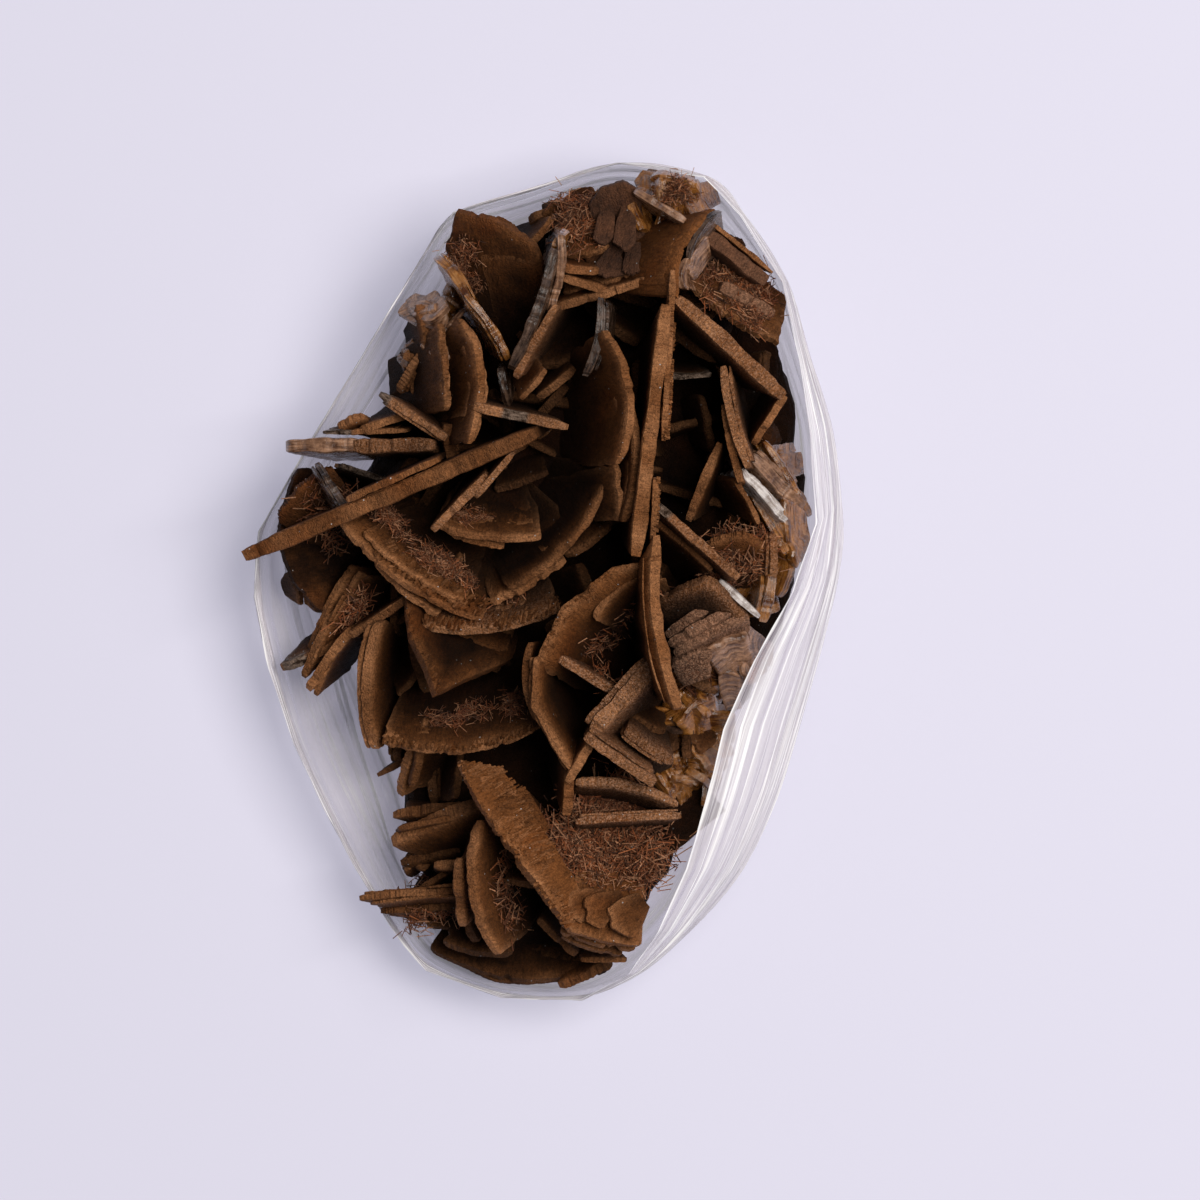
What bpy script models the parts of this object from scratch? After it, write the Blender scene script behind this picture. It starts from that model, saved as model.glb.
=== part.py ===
"""A baryte plate: bladed crystals grown together on a thin base, in a wrap of clear film.

Metres, +Z up. The origin is on the resting surface, under the middle of the plate.
The tables below are in millimetres, and MM turns them into metres.
"""

import math
import random

import bmesh
import bpy
from mathutils import Matrix, Vector

MM = 0.001

# Driving dimensions
BASE_TOP = 14.5  # height of the base that the crystals grow from
BASE_UNDER = 1.0  # the base's underside, clear of the film below it
FILM_WALL = 0.5  # wall of the film's solid
PLY_OVERLAP = 0.3  # how far one ply of a crystal runs into the next
PLY_SHARE = 0.55  # share of a thick crystal's thickness in its main ply
PLY_DROP = 0.9  # how far the second ply stops below the main one's edge
TWO_PLY_FROM = 2.4  # crystals this thick show two plies
EDGE_STEP = 6.5  # length of edge to each corner point of a bowed crystal
LEAST_BOW = 0.6  # crystals that bow less than this are drawn as straight laths

BARYTE_BROWN = (0.20, 0.095, 0.042, 1.0)
FILM_CLEAR = (0.9, 0.9, 0.95, 0.25)

# Each crystal: start x, y, z and end x, y, z of its upper edge; how far the edge bows out;
# lean from upright in degrees, falling to the left of start-to-end where positive;
# depth down the blade; thickness; and where its keel lies, from -1 at the start to 1 at the end.
UPPER_LEFT = [
    (-12.6, 48.4, 24, 0.6, 44.6, 29, 2.4, -52, 20, 2.2, 0.0),
    (-14.4, 43.8, 25, -9.6, 36.6, 28, 0.3, -12, 19, 2.2, 0.3),
    (-10.8, 38.6, 29, -5.0, 29.8, 27, 0.4, -18, 20, 2.0, 0.0),
    (-6.5, 30.0, 23, -5.0, 23.6, 21, 0.5, 8, 14, 1.6, 0.0),
    (0.9, 44.2, 31, -4.5, 28.6, 28, 0.6, 8, 21, 2.2, 0.0),
    (2.4, 46.2, 30, 1.1, 36.8, 27, 0.7, -6, 20, 1.9, 0.0),
    (1.4, 36.9, 29, -3.8, 27.9, 27, 0.2, 12, 20, 1.2, 0.0),
    (-11.0, 35.2, 29, -9.9, 18.7, 31, 1.6, -14, 24, 3.0, 0.0),
    (-14.2, 34.2, 26, -12.7, 21.2, 27, 0.8, -18, 21, 2.3, 0.0),
    (-12.6, 20.8, 25, -12.3, 15.4, 23, 0.3, -8, 16, 2.2, 0.0),
    (-16.6, 36.4, 21, -15.2, 30.6, 21, 0.8, -10, 13, 2.2, 0.0),
    (-15.6, 32.2, 20, -20.0, 25.4, 17, 0.4, 20, 13, 1.5, -0.3),
    (-22.5, 25.4, 22, -13.4, 19.0, 24, 0.9, 10, 17, 1.6, 0.4),
    (-25.2, 20.6, 20, -18.8, 22.4, 21, 0.3, 15, 14, 1.2, 0.4),
    (-2.4, 49.2, 19, 1.4, 50.2, 20, 0.3, -20, 13, 1.3, 0.0),
    (-1.2, 46.0, 24, 1.2, 49.2, 23, 0.2, 15, 17, 1.0, 0.0),
]
LEFT = [
    (-35.2, 18.3, 21, -15.0, 18.5, 24, 0.5, -5, 15, 2.3, 0.8),
    (-29.4, 16.6, 18, -19.6, 13.0, 20, 0.2, -14, 12, 1.0, 0.4),
    (-40.6, 3.4, 24, -1.2, 19.8, 34, 0.5, 3, 26, 2.4, 0.45),
    (-14.8, 7.0, 28, -7.7, 14.2, 30, 0.2, 10, 20, 1.3, 0.0),
    (-9.2, 11.4, 28, -3.8, 17.4, 31, 0.2, 10, 20, 1.0, 0.0),
    (-33.6, 14.6, 17, -30.6, -4.6, 16, 5.0, 60, 15, 2.2, 0.0),
    (-31.4, 16.4, 25, -8.4, -4.9, 27, 3.0, 46, 19, 2.5, 0.2),
    (-26.9, 2.2, 18, -31.8, -9.4, 15, 0.8, 42, 13, 2.2, -0.4),
    (-28.6, -3.4, 17, -33.4, -12.6, 15, 0.5, 30, 8, 1.1, -0.7),
    (-27.0, -6.2, 17, -17.6, -1.4, 21, 0.4, 8, 13, 1.3, 0.5),
    (-34.2, -11.6, 14, -27.2, -7.8, 16, 0.2, 20, 6, 1.3, 0.7),
    (-30.8, -16.4, 16, -26.6, -7.4, 18, 0.3, -14, 10, 1.2, 0.8),
    (-26.6, -6.8, 16, -18.8, -6.2, 15, 0.3, 10, 9, 1.5, 0.5),
]
LOWER_LEFT = [
    (-15.9, -5.2, 24, 2.4, -3.6, 25, 2.6, 50, 17, 2.0, 0.0),
    (-18.4, -3.4, 20, -3.8, -9.6, 17, 11.0, 56, 15, 1.8, 0.0),
    (-22.8, -4.8, 21, -22.6, -22.4, 21, 1.6, 26, 18, 2.6, 0.0),
    (-23.2, -20.6, 17, -22.0, -24.8, 15, 0.3, 22, 10, 2.0, -0.4),
    (-21.7, -22.0, 23, -0.2, -19.4, 25, 3.4, 56, 20, 2.1, 0.2),
    (-18.4, -20.8, 20, -20.2, -28.8, 17, 0.4, 42, 15, 1.3, -0.5),
    (-20.6, -31.2, 16, -10.6, -30.2, 18, 0.6, -32, 12, 1.6, 0.6),
    (-21.0, -35.3, 17, -8.6, -29.6, 21, 1.0, -46, 16, 1.9, 0.6),
    (-19.6, -37.8, 13, -12.0, -36.0, 14, 0.9, -20, 8, 2.2, 0.6),
    (-25.0, -42.8, 16, -9.6, -41.0, 19, 0.5, -18, 13, 1.9, 0.7),
    (-22.2, -44.4, 14, -11.0, -43.6, 16, 0.4, -10, 10, 1.5, 0.7),
    (-20.0, -45.0, 12, -11.6, -47.0, 12, 0.6, 58, 11, 1.6, 0.4),
    (-9.4, -32.6, 25, -7.6, -50.0, 23, 2.6, 38, 19, 2.2, 0.0),
    (-11.6, -37.6, 24, -11.8, -46.4, 22, 0.8, 30, 16, 1.6, 0.0),
    (-11.0, -44.8, 19, -9.6, -49.2, 17, 0.4, 20, 12, 1.6, 0.0),
]
BIG_PLATE = [
    (-11.6, -24.6, 29, 3.6, -47.2, 27, 1.6, 66, 27, 2.4, 0.3),
    (-3.4, -32.4, 30.2, 11.4, -48.4, 28.6, 0.6, 70, 17, 1.0, 0.2),
    (2.6, -46.9, 26.4, 12.6, -49.4, 24.0, 0.3, 66, 20, 1.0, 0.2),
    (-15.8, -50.4, 9, 8.4, -53.4, 10, 3.0, 62, 15, 2.2, 0.2),
    (-14.0, -49.4, 14, -4.4, -50.6, 15, 0.9, 50, 13, 1.6, 0.4),
    (5.0, -51.2, 16, 11.6, -51.0, 15, 0.2, 14, 9, 1.0, 0.0),
    (1.4, -55.2, 12, 9.0, -52.0, 13, 0.3, 30, 10, 1.3, 0.4),
    (-3.0, -43.6, 19, 3.8, -50.4, 17, 0.4, 18, 12, 1.2, 0.0),
]
CENTRE = [
    (16.4, 36.4, 34, 12.3, 3.6, 36, 0.4, -6, 27, 2.4, 0.0),
    (17.1, 41.6, 32, 15.4, 12.8, 36, 0.3, -4, 26, 1.2, 0.0),
    (8.1, 33.4, 33, 10.1, 15.4, 35, 2.1, -36, 28, 1.7, 0.0),
    (11.6, 24.6, 32, 10.6, 8.2, 33, 1.9, -28, 25, 1.7, 0.0),
    (8.8, 14.2, 27, -7.2, -2.2, 26, 1.8, -50, 24, 1.7, 0.0),
    (10.6, 8.4, 22, 2.4, 2.8, 21, 0.6, -48, 16, 1.5, 0.0),
    (-14.8, 7.3, 25, -0.6, 5.6, 25, 1.0, 50, 18, 1.6, 0.0),
    (-6.8, 12.3, 17, 0.4, 14.7, 18, 0.3, 22, 12, 1.1, 0.0),
    (-9.4, 23.4, 30, 3.6, 20.9, 27, 0.2, 8, 20, 1.4, 0.0),
    (-3.2, 24.4, 24, 0.3, 28.4, 25, 0.2, 34, 16, 1.1, 0.0),
    (-1.0, 24.6, 20, 4.0, 28.7, 21, 0.2, 16, 13, 1.4, 0.0),
    (7.7, 38.0, 31, 5.7, 27.6, 30, -0.8, 4, 22, 1.7, 0.0),
    (-3.0, 28.9, 19, 7.2, 31.0, 20, 1.2, 58, 14, 1.5, 0.0),
]
TOP = [
    (-0.6, 36.4, 25, 14.8, 40.5, 28, 0.8, 24, 19, 1.6, 0.0),
    (23.2, 50.2, 28, 18.0, 38.4, 33, -0.9, -46, 20, 1.5, 0.2),
    (2.3, 42.2, 28, 7.4, 41.6, 27, 0.2, 18, 18, 1.3, 0.0),
    (2.5, 40.8, 27, 9.0, 38.8, 26, 0.2, 12, 18, 1.3, 0.0),
    (5.8, 40.8, 26, 12.8, 41.6, 26, 0.8, 70, 14, 1.6, 0.0),
    (1.6, 44.0, 22, 9.8, 44.6, 23, 0.8, 62, 11, 1.6, 0.0),
    (8.6, 50.4, 20, 10.8, 54.0, 21, 0.8, -24, 16, 1.6, -0.4),
    (12.2, 52.6, 25, 18.8, 48.3, 27, 0.4, -8, 17, 1.5, 0.0),
    (14.8, 54.0, 21, 21.0, 52.8, 21, 1.1, -60, 14, 1.8, 0.0),
    (12.4, 46.0, 21, 17.0, 45.0, 22, 0.4, 30, 14, 1.2, 0.0),
]
UPPER_RIGHT = [
    (22.2, 47.2, 27, 30.3, 40.9, 25, 0.3, -14, 14, 2.6, -0.5),
    (23.6, 39.7, 25, 30.8, 36.2, 21, 0.5, -8, 14, 2.0, -0.5),
    (20.2, 43.6, 20, 27.0, 40.6, 19, 0.5, 30, 11, 1.4, -0.2),
    (17.8, 38.4, 33, 32.2, 24.8, 29, 0.9, 34, 17, 2.4, -0.5),
    (32.4, 25.0, 28, 27.8, 18.4, 27, 0.2, 10, 18, 1.1, 0.3),
    (30.4, 31.4, 19, 28.6, 26.0, 20, 0.5, -30, 12, 1.6, 0.0),
    (29.0, 19.0, 24, 36.2, 8.4, 18, 1.3, -8, 14, 1.4, -0.2),
    (27.8, 17.0, 26, 34.4, 10.2, 21, 0.5, -12, 16, 2.3, -0.2),
    (26.2, 15.4, 28, 33.4, 7.4, 26, 0.6, -22, 20, 1.5, -0.2),
    (24.0, 29.6, 29, 27.3, 15.4, 31, 0.6, 6, 22, 1.6, 0.0),
    (24.1, 24.0, 28, 26.2, 13.4, 30, 0.4, 8, 21, 1.2, 0.0),
    (25.7, 14.0, 28, 29.2, 7.6, 26, 0.6, -16, 19, 1.0, 0.0),
    (23.6, 19.0, 26, 19.0, 8.2, 25, 0.2, 14, 18, 1.4, 0.0),
    (16.6, 27.5, 26, 22.8, 28.0, 25, 0.2, 10, 17, 1.0, 0.0),
    (21.4, 26.0, 21, 22.6, 17.6, 20, 0.6, -24, 13, 1.2, 0.0),
    (14.7, 10.6, 31, 26.0, 0.4, 31, 0.2, -10, 22, 1.5, 0.0),
]
RIGHT = [
    (20.2, 6.2, 27, 31.0, 5.6, 26, 1.9, -58, 15, 1.7, 0.0),
    (30.7, 6.8, 27, 29.4, -5.0, 26, 0.7, -14, 19, 1.7, 0.0),
    (24.0, -0.2, 28, 29.0, -4.8, 27, 0.3, 12, 19, 1.3, 0.0),
    (15.8, -1.4, 30, 24.2, -0.9, 31, 1.3, 24, 22, 3.4, 0.0),
    (16.0, -8.2, 31, 28.2, -4.9, 30, 1.6, -44, 17, 3.2, -0.7),
    (14.5, 5.8, 36, 17.7, -17.2, 36, -1.8, -10, 28, 2.8, 0.0),
    (14.1, 2.4, 34, -1.2, -10.8, 33, -2.2, 42, 27, 2.8, 0.0),
    (-1.1, -9.6, 33, 3.5, -25.4, 31, -0.9, 24, 25, 2.0, 0.0),
    (1.7, -10.0, 29, 10.0, -14.8, 28, 0.2, 8, 20, 1.2, 0.0),
    (14.4, -10.4, 30, 5.4, -20.2, 31, 0.4, 52, 22, 1.6, 0.0),
    (5.5, -20.3, 33, 15.4, -26.8, 31, 0.3, 42, 22, 2.0, 0.0),
    (9.6, -20.4, 29, 16.6, -22.0, 27, 0.3, 36, 18, 1.2, 0.0),
    (6.4, -21.2, 30, 3.2, -26.8, 30, 0.2, -10, 21, 1.4, 0.0),
    (3.4, -26.0, 30, 2.9, -31.4, 27, 0.3, -10, 19, 1.6, 0.0),
    (4.2, -26.9, 28, 17.8, -29.8, 26, 1.2, -26, 19, 1.5, 0.0),
    (4.1, -31.8, 28, 18.4, -31.0, 26, 0.7, -12, 18, 1.5, 0.0),
    (18.6, -12.2, 24, 24.0, -15.2, 21, 0.6, 36, 15, 1.8, 0.0),
    (17.2, -17.4, 22, 22.6, -14.4, 20, 0.8, -44, 13, 2.2, 0.0),
    (17.6, -24.2, 19, 20.0, -30.4, 17, 0.8, -24, 11, 2.2, 0.0),
]
CRYSTALS = UPPER_LEFT + LEFT + LOWER_LEFT + BIG_PLATE + CENTRE + TOP + UPPER_RIGHT + RIGHT

# Plan of the base, anticlockwise from its top right
BASE_OUTLINE = [
    (27, 34), (22, 46), (13, 51.5), (0, 48), (-10, 43), (-15, 31), (-22, 18), (-27, 8),
    (-24, -2), (-17, -11), (-14, -25), (-12, -38), (-7, -48), (3, -50), (11, -44),
    (16, -33), (19, -21), (26, -9), (30, 5), (30, 20),
]
# Sections of the base as (share of the outline, height)
BASE_SECTIONS = [(0.80, BASE_UNDER), (0.97, 4.0), (1.0, 7.5), (0.86, 11.5), (0.55, BASE_TOP)]
BASE_JITTER = 0.9
BASE_SEED = 3

# The film: rim x, y, z, belly x, y, z and foot x, y at stations round it, anticlockwise
FILM_STATIONS = [
    (21.6, 55.0, 22, 22.4, 55.2, 16, 19, 47),
    (10.0, 57.0, 19, 10.0, 57.2, 14, 10, 52),
    (-2.0, 53.4, 18, -2.2, 53.4, 13, 0, 50),
    (-12.4, 50.2, 20, -12.6, 50.0, 14, -9, 45),
    (-16.6, 44.2, 20, -17.0, 44.0, 14, -13, 38),
    (-22.4, 35.0, 19, -22.8, 34.8, 13, -17, 30),
    (-28.2, 25.8, 16, -28.4, 25.6, 11, -22, 21),
    (-34.0, 16.0, 15.0, -34.2, 15.8, 10, -27, 13),
    (-39.2, 7.0, 15, -38.8, 7.0, 10, -30, 6),
    (-39.8, -2.0, 14, -39.0, -2.0, 9, -29, -3),
    (-37.8, -12.0, 13, -37.0, -12.0, 8.5, -26, -11),
    (-34.6, -22.0, 13, -34.0, -21.8, 8, -23, -20),
    (-30.4, -31.0, 12, -29.8, -30.8, 8, -20, -29),
    (-26.2, -39.0, 11, -25.8, -38.6, 7.5, -18, -36),
    (-21.4, -47.0, 10, -21.0, -46.6, 7, -15, -43),
    (-16.4, -53.2, 10, -16.2, -52.6, 6.5, -10, -49),
    (-6.0, -57.0, 11, -6.2, -56.4, 7, -4, -51.5),
    (5.0, -57.2, 12, 5.2, -56.8, 8, 3, -52),
    (11.4, -53.4, 19, 13.6, -53.2, 10, 9, -48),
    (15.4, -47.4, 23, 20.8, -47.0, 12, 14, -42),
    (19.2, -39.0, 25, 27.2, -39.2, 13, 17, -35),
    (21.8, -30.0, 26, 31.8, -29.6, 14, 20, -27),
    (24.4, -20.0, 26, 35.4, -18.6, 14, 24, -18),
    (28.6, -10.6, 26, 38.2, -8.6, 14, 29, -8),
    (33.6, -1.4, 26, 40.4, 1.6, 14, 32, 1),
    (36.8, 8.0, 25, 40.6, 11.0, 14, 33, 11),
    (36.0, 19.6, 25, 39.4, 21.0, 14, 33, 21),
    (34.4, 30.0, 26, 36.0, 31.4, 15, 31, 30),
    (32.2, 40.6, 26, 33.2, 41.0, 16, 27, 39),
    (26.6, 49.6, 25, 27.4, 50.0, 16, 23, 46),
]
FILM_ROWS_ABOVE = 2  # rows of faces from belly to rim
FILM_ROWS_BELOW = 3  # rows of faces from foot to belly


def clear_scene():
    for old in list(bpy.data.objects):
        bpy.data.objects.remove(old)


def new_collection(name):
    made = bpy.data.collections.new(name)
    bpy.context.scene.collection.children.link(made)
    return made


def new_material(name, colour, roughness):
    material = bpy.data.materials.new(name)
    material.use_nodes = True
    shader = material.node_tree.nodes["Principled BSDF"]
    shader.inputs["Base Color"].default_value = colour
    shader.inputs["Roughness"].default_value = roughness
    shader.inputs["Alpha"].default_value = colour[3]
    return material


def blade_axes(start, end, lean):
    """Unit vectors along a crystal's upper edge, down its face and out of its face."""
    along = (end - start).normalized()
    left = Vector((-along.y, along.x, 0)).normalized()
    down = math.cos(lean) * Vector((0, 0, -1)) + math.sin(lean) * left
    down = (down - along * down.dot(along)).normalized()
    return along, down, along.cross(down)


def blade_outline(length, bow, depth, keel):
    """A crystal's outline as (along, down): a bowed upper edge, and sides that draw in to a keel."""
    middle = 0.5 + 0.32 * keel
    if abs(bow) < LEAST_BOW * MM:
        low = (max(0.04, middle - 0.36), min(0.96, middle + 0.36))
        return [(0, 0), (length, 0), (length * low[1], depth), (length * low[0], depth)]
    steps = max(2, round(length / (EDGE_STEP * MM)))
    edge = []
    for i in range(steps + 1):
        share = i / steps
        edge.append((length * share, -bow * (1 - (2 * share - 1) ** 2)))
    low = (middle - 0.24, middle + 0.24)
    undercut = 0.25 + 0.35 * abs(keel)
    return edge + [
        (length * (1 - undercut * (1 - low[1])), 0.5 * depth),
        (length * low[1], depth),
        (length * low[0], depth),
        (length * undercut * low[0], 0.5 * depth),
    ]


def flat_blade(name, outline, thickness, placed):
    """A flat outline given its thickness, as a mesh with its caps welded on."""
    curve = bpy.data.curves.new(name, "CURVE")
    curve.dimensions = "2D"
    curve.fill_mode = "BOTH"
    curve.extrude = thickness / 2
    spline = curve.splines.new("POLY")
    spline.points.add(len(outline) - 1)
    for point, (along, down) in zip(spline.points, outline):
        point.co = (along, down, 0, 1)
    spline.use_cyclic_u = True
    drawn = bpy.data.objects.new(name, curve)
    bpy.context.scene.collection.objects.link(drawn)
    bpy.context.view_layer.update()
    graph = bpy.context.evaluated_depsgraph_get()
    mesh = bpy.data.meshes.new_from_object(drawn.evaluated_get(graph))
    bpy.data.objects.remove(drawn)
    shape = bmesh.new()
    shape.from_mesh(mesh)
    bmesh.ops.remove_doubles(shape, verts=shape.verts, dist=1e-7)
    bmesh.ops.recalc_face_normals(shape, faces=shape.faces)
    shape.to_mesh(mesh)
    shape.free()
    mesh.transform(placed)
    return mesh


def crystal_meshes(row):
    """One crystal's plies, in place. A thick crystal has a second, lower ply beside the main one."""
    start = Vector(row[0:3]) * MM
    end = Vector(row[3:6]) * MM
    bow, lean, depth, thick, keel = row[6] * MM, math.radians(row[7]), row[8] * MM, row[9] * MM, row[10]
    along, down, out = blade_axes(start, end, lean)
    length = (end - start).length
    turn = Matrix((along, down, out)).transposed().to_4x4()
    outline = blade_outline(length, bow, depth, keel)
    if row[9] < TWO_PLY_FROM:
        return [flat_blade("ply", outline, thick, Matrix.Translation(start) @ turn)]
    main = PLY_SHARE * thick
    second = thick - main + PLY_OVERLAP * MM
    main_at = Matrix.Translation(start - out * (thick - main) / 2) @ turn
    second_at = Matrix.Translation(start + out * (thick - second) / 2) @ turn
    lower = blade_outline(0.84 * length, 0.9 * bow, 0.9 * depth, keel)
    lower = [(a + 0.09 * length, d + PLY_DROP * MM) for a, d in lower]
    return [flat_blade("ply", outline, main, main_at), flat_blade("ply", lower, second, second_at)]


def loft(shape, rings):
    """Quads between rings of as many points each. Returns the rings' vertices."""
    made = [[shape.verts.new(point) for point in ring] for ring in rings]
    for lower, upper in zip(made, made[1:]):
        for i in range(len(lower)):
            j = (i + 1) % len(lower)
            shape.faces.new((lower[i], lower[j], upper[j], upper[i]))
    return made


def base_mesh():
    """The lumpy base, lofted between sections of one outline."""
    pick = random.Random(BASE_SEED)
    rings = []
    for share, height in BASE_SECTIONS:
        shift = 0 if height == BASE_UNDER else BASE_JITTER
        ring = []
        for x, y in BASE_OUTLINE:
            nudge = Vector([pick.uniform(-shift, shift) for _ in range(3)])
            ring.append((Vector((x * share, y * share, height)) + nudge) * MM)
        rings.append(ring)
    shape = bmesh.new()
    made = loft(shape, rings)
    shape.faces.new(list(reversed(made[0])))
    top = shape.faces.new(made[-1])
    bmesh.ops.triangulate(shape, faces=[top])
    bmesh.ops.recalc_face_normals(shape, faces=shape.faces)
    mesh = bpy.data.meshes.new("base")
    shape.to_mesh(mesh)
    shape.free()
    return mesh


def joined(name, meshes, material, collection):
    """One mesh object that holds all of these meshes."""
    shape = bmesh.new()
    for mesh in meshes:
        shape.from_mesh(mesh)
        bpy.data.meshes.remove(mesh)
    whole = bpy.data.meshes.new(name)
    shape.to_mesh(whole)
    shape.free()
    whole.materials.append(material)
    made = bpy.data.objects.new(name, whole)
    collection.objects.link(made)
    return made


def drop_sealed_pockets(mesh):
    """Removes the inner skins of pockets that the crossing crystals close off."""
    shape = bmesh.new()
    shape.from_mesh(mesh)
    left = set(shape.verts)
    while left:
        stack = [left.pop()]
        skin = set(stack)
        while stack:
            for edge in stack.pop().link_edges:
                for vertex in edge.verts:
                    if vertex in left:
                        left.discard(vertex)
                        skin.add(vertex)
                        stack.append(vertex)
        faces = {face for vertex in skin for face in vertex.link_faces}
        volume = sum(face.calc_center_median().dot(face.normal) * face.calc_area() for face in faces)
        if volume < 0:
            bmesh.ops.delete(shape, geom=list(skin), context="VERTS")
    shape.to_mesh(mesh)
    shape.free()


def crystal_plate(collection, helpers, material):
    """All the crystals and the base, joined into the one solid that they grew as."""
    meshes = []
    for row in CRYSTALS:
        meshes += crystal_meshes(row)
    blades = joined("blades", meshes, material, helpers)
    blades.hide_render = True
    blades.display_type = "WIRE"
    plate = joined("baryte_crystals", [base_mesh()], material, collection)
    union = plate.modifiers.new("grown_together", "BOOLEAN")
    union.operation = "UNION"
    union.solver = "EXACT"
    union.use_self = True
    union.object = blades
    bpy.context.view_layer.update()
    graph = bpy.context.evaluated_depsgraph_get()
    grown = bpy.data.meshes.new_from_object(plate.evaluated_get(graph))
    plate.modifiers.clear()
    plate.data = grown
    plate.data.name = "baryte_crystals"
    drop_sealed_pockets(grown)
    return plate


def film_wrap(collection, material):
    """The film: a thin bowl that is flat underneath, widest at its belly and drawn in at its rim."""
    rings = []
    rings.append([Vector((s[6], s[7], 0)) for s in FILM_STATIONS])
    for row in range(1, FILM_ROWS_BELOW + 1):
        share = row / FILM_ROWS_BELOW
        out = math.sin(share * math.pi / 2)
        rise = 1 - math.cos(share * math.pi / 2)
        ring = []
        for s in FILM_STATIONS:
            foot, belly = Vector((s[6], s[7], 0)), Vector(s[3:6])
            plan = foot.lerp(Vector((belly.x, belly.y, 0)), out)
            ring.append(Vector((plan.x, plan.y, belly.z * rise)))
        rings.append(ring)
    for row in range(1, FILM_ROWS_ABOVE + 1):
        share = row / FILM_ROWS_ABOVE
        ring = []
        for s in FILM_STATIONS:
            rim, belly = Vector(s[0:3]), Vector(s[3:6])
            inward = 1 - math.cos(share * math.pi / 2)
            plan = belly.lerp(rim, inward)
            ring.append(Vector((plan.x, plan.y, belly.z + (rim.z - belly.z) * share)))
        rings.append(ring)
    shape = bmesh.new()
    made = loft(shape, [[point * MM for point in ring] for ring in rings])
    shape.faces.new(list(reversed(made[0])))
    bmesh.ops.recalc_face_normals(shape, faces=shape.faces)
    mesh = bpy.data.meshes.new("film_wrap")
    shape.to_mesh(mesh)
    shape.free()
    mesh.materials.append(material)
    film = bpy.data.objects.new("film_wrap", mesh)
    collection.objects.link(film)
    wall = film.modifiers.new("wall", "SOLIDIFY")
    wall.thickness = FILM_WALL * MM
    wall.offset = -1
    return film


def main():
    clear_scene()
    collection = new_collection("baryte_plate")
    helpers = new_collection("helpers")
    helpers.hide_render = True
    crystal_plate(collection, helpers, new_material("brown baryte", BARYTE_BROWN, 0.8))
    film_wrap(collection, new_material("clear film", FILM_CLEAR, 0.15))


main()
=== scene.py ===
# %% [markdown]
# # Baryte plate
# A mineral specimen: thin blades of baryte that grew through each other in an open rosette, on
# a thin base. A coat of iron oxide makes them brown and velvety. The back and the sides are
# wrapped in clear stretched film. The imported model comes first, because every piece is placed
# in its frame, in metres.

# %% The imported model
import itertools
import math

import bpy
import numpy as np
from mathutils import Matrix, Vector


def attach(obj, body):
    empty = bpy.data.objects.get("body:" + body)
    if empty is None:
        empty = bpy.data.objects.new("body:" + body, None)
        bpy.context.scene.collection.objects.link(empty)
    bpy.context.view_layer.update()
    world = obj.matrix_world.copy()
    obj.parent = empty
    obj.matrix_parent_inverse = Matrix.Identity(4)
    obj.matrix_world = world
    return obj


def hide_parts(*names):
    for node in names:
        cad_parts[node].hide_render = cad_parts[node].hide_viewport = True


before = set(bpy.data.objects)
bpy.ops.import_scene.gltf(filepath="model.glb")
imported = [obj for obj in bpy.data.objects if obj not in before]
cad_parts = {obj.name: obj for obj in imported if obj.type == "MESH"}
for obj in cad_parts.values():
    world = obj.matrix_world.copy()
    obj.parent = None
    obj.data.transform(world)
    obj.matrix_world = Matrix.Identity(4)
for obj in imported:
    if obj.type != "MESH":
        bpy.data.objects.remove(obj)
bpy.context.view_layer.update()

MM = 0.001

# %% [markdown]
# ## Camera, light and floor
# The specimen is seen from straight above. A long lens keeps the steep blades from spreading.
# One large softbox stands above and to the right, and a pale sky fills in, so that rims
# that face up are light and the deep gaps stay nearly black.

# %% Camera
VIEW_CENTRE = (7.47, -2.4)  # mm, what the middle of the frame looks at
FIELD = 160.0  # mm across the frame at the height of the tips
TIP_HEIGHT = 34.0
CAMERA_AWAY = 1000.0
SENSOR = 36.0

scene = bpy.context.scene
camera_data = bpy.data.cameras.new("camera")
camera_data.sensor_width = SENSOR
camera_data.lens = SENSOR * CAMERA_AWAY / FIELD
camera_data.clip_start = 0.01
camera = bpy.data.objects.new("camera", camera_data)
camera.location = (VIEW_CENTRE[0] * MM, VIEW_CENTRE[1] * MM, (TIP_HEIGHT + CAMERA_AWAY) * MM)
scene.collection.objects.link(camera)
scene.camera = camera
scene.view_settings.view_transform = "Standard"
print("lens:", camera_data.lens, "mm")


# %% Colours and nodes
def linear(code, alpha=1.0):
    """An sRGB hex colour as the linear values that shaders take."""
    parts = [int(code[i:i + 2], 16) / 255 for i in (1, 3, 5)]
    return (*[p / 12.92 if p <= 0.04045 else ((p + 0.055) / 1.055) ** 2.4 for p in parts], alpha)


def add_node(tree, kind, settings=None, **links):
    """Adds a shader node. Settings go to its properties or sockets by name, or to a socket by number.
    Links name the socket, or its number after a _, and give an output or a node's first output."""
    node = tree.nodes.new("ShaderNode" + kind)
    for key, value in (settings or {}).items():
        if isinstance(key, str) and hasattr(node, key) and key not in node.inputs:
            setattr(node, key, value)
        else:
            node.inputs[key].default_value = value
    for key, source in links.items():
        socket = node.inputs[int(key[1:])] if key[0] == "_" else node.inputs[key.replace("_", " ")]
        tree.links.new(getattr(source, "outputs", [source])[0], socket)
    return node


def new_material(name):
    """An empty material. Returns it and its node tree."""
    material = bpy.data.materials.new(name)
    material.use_nodes = True
    material.node_tree.nodes.clear()
    return material, material.node_tree


BLEND = {"data_type": "RGBA"}  # a Mix node for colours, with its colours in sockets 6 and 7
TINT = {"data_type": "RGBA", "blend_type": "MULTIPLY", "Factor": 1.0}
print("half grey in linear light:", round(linear("#808080")[0], 3))

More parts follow.
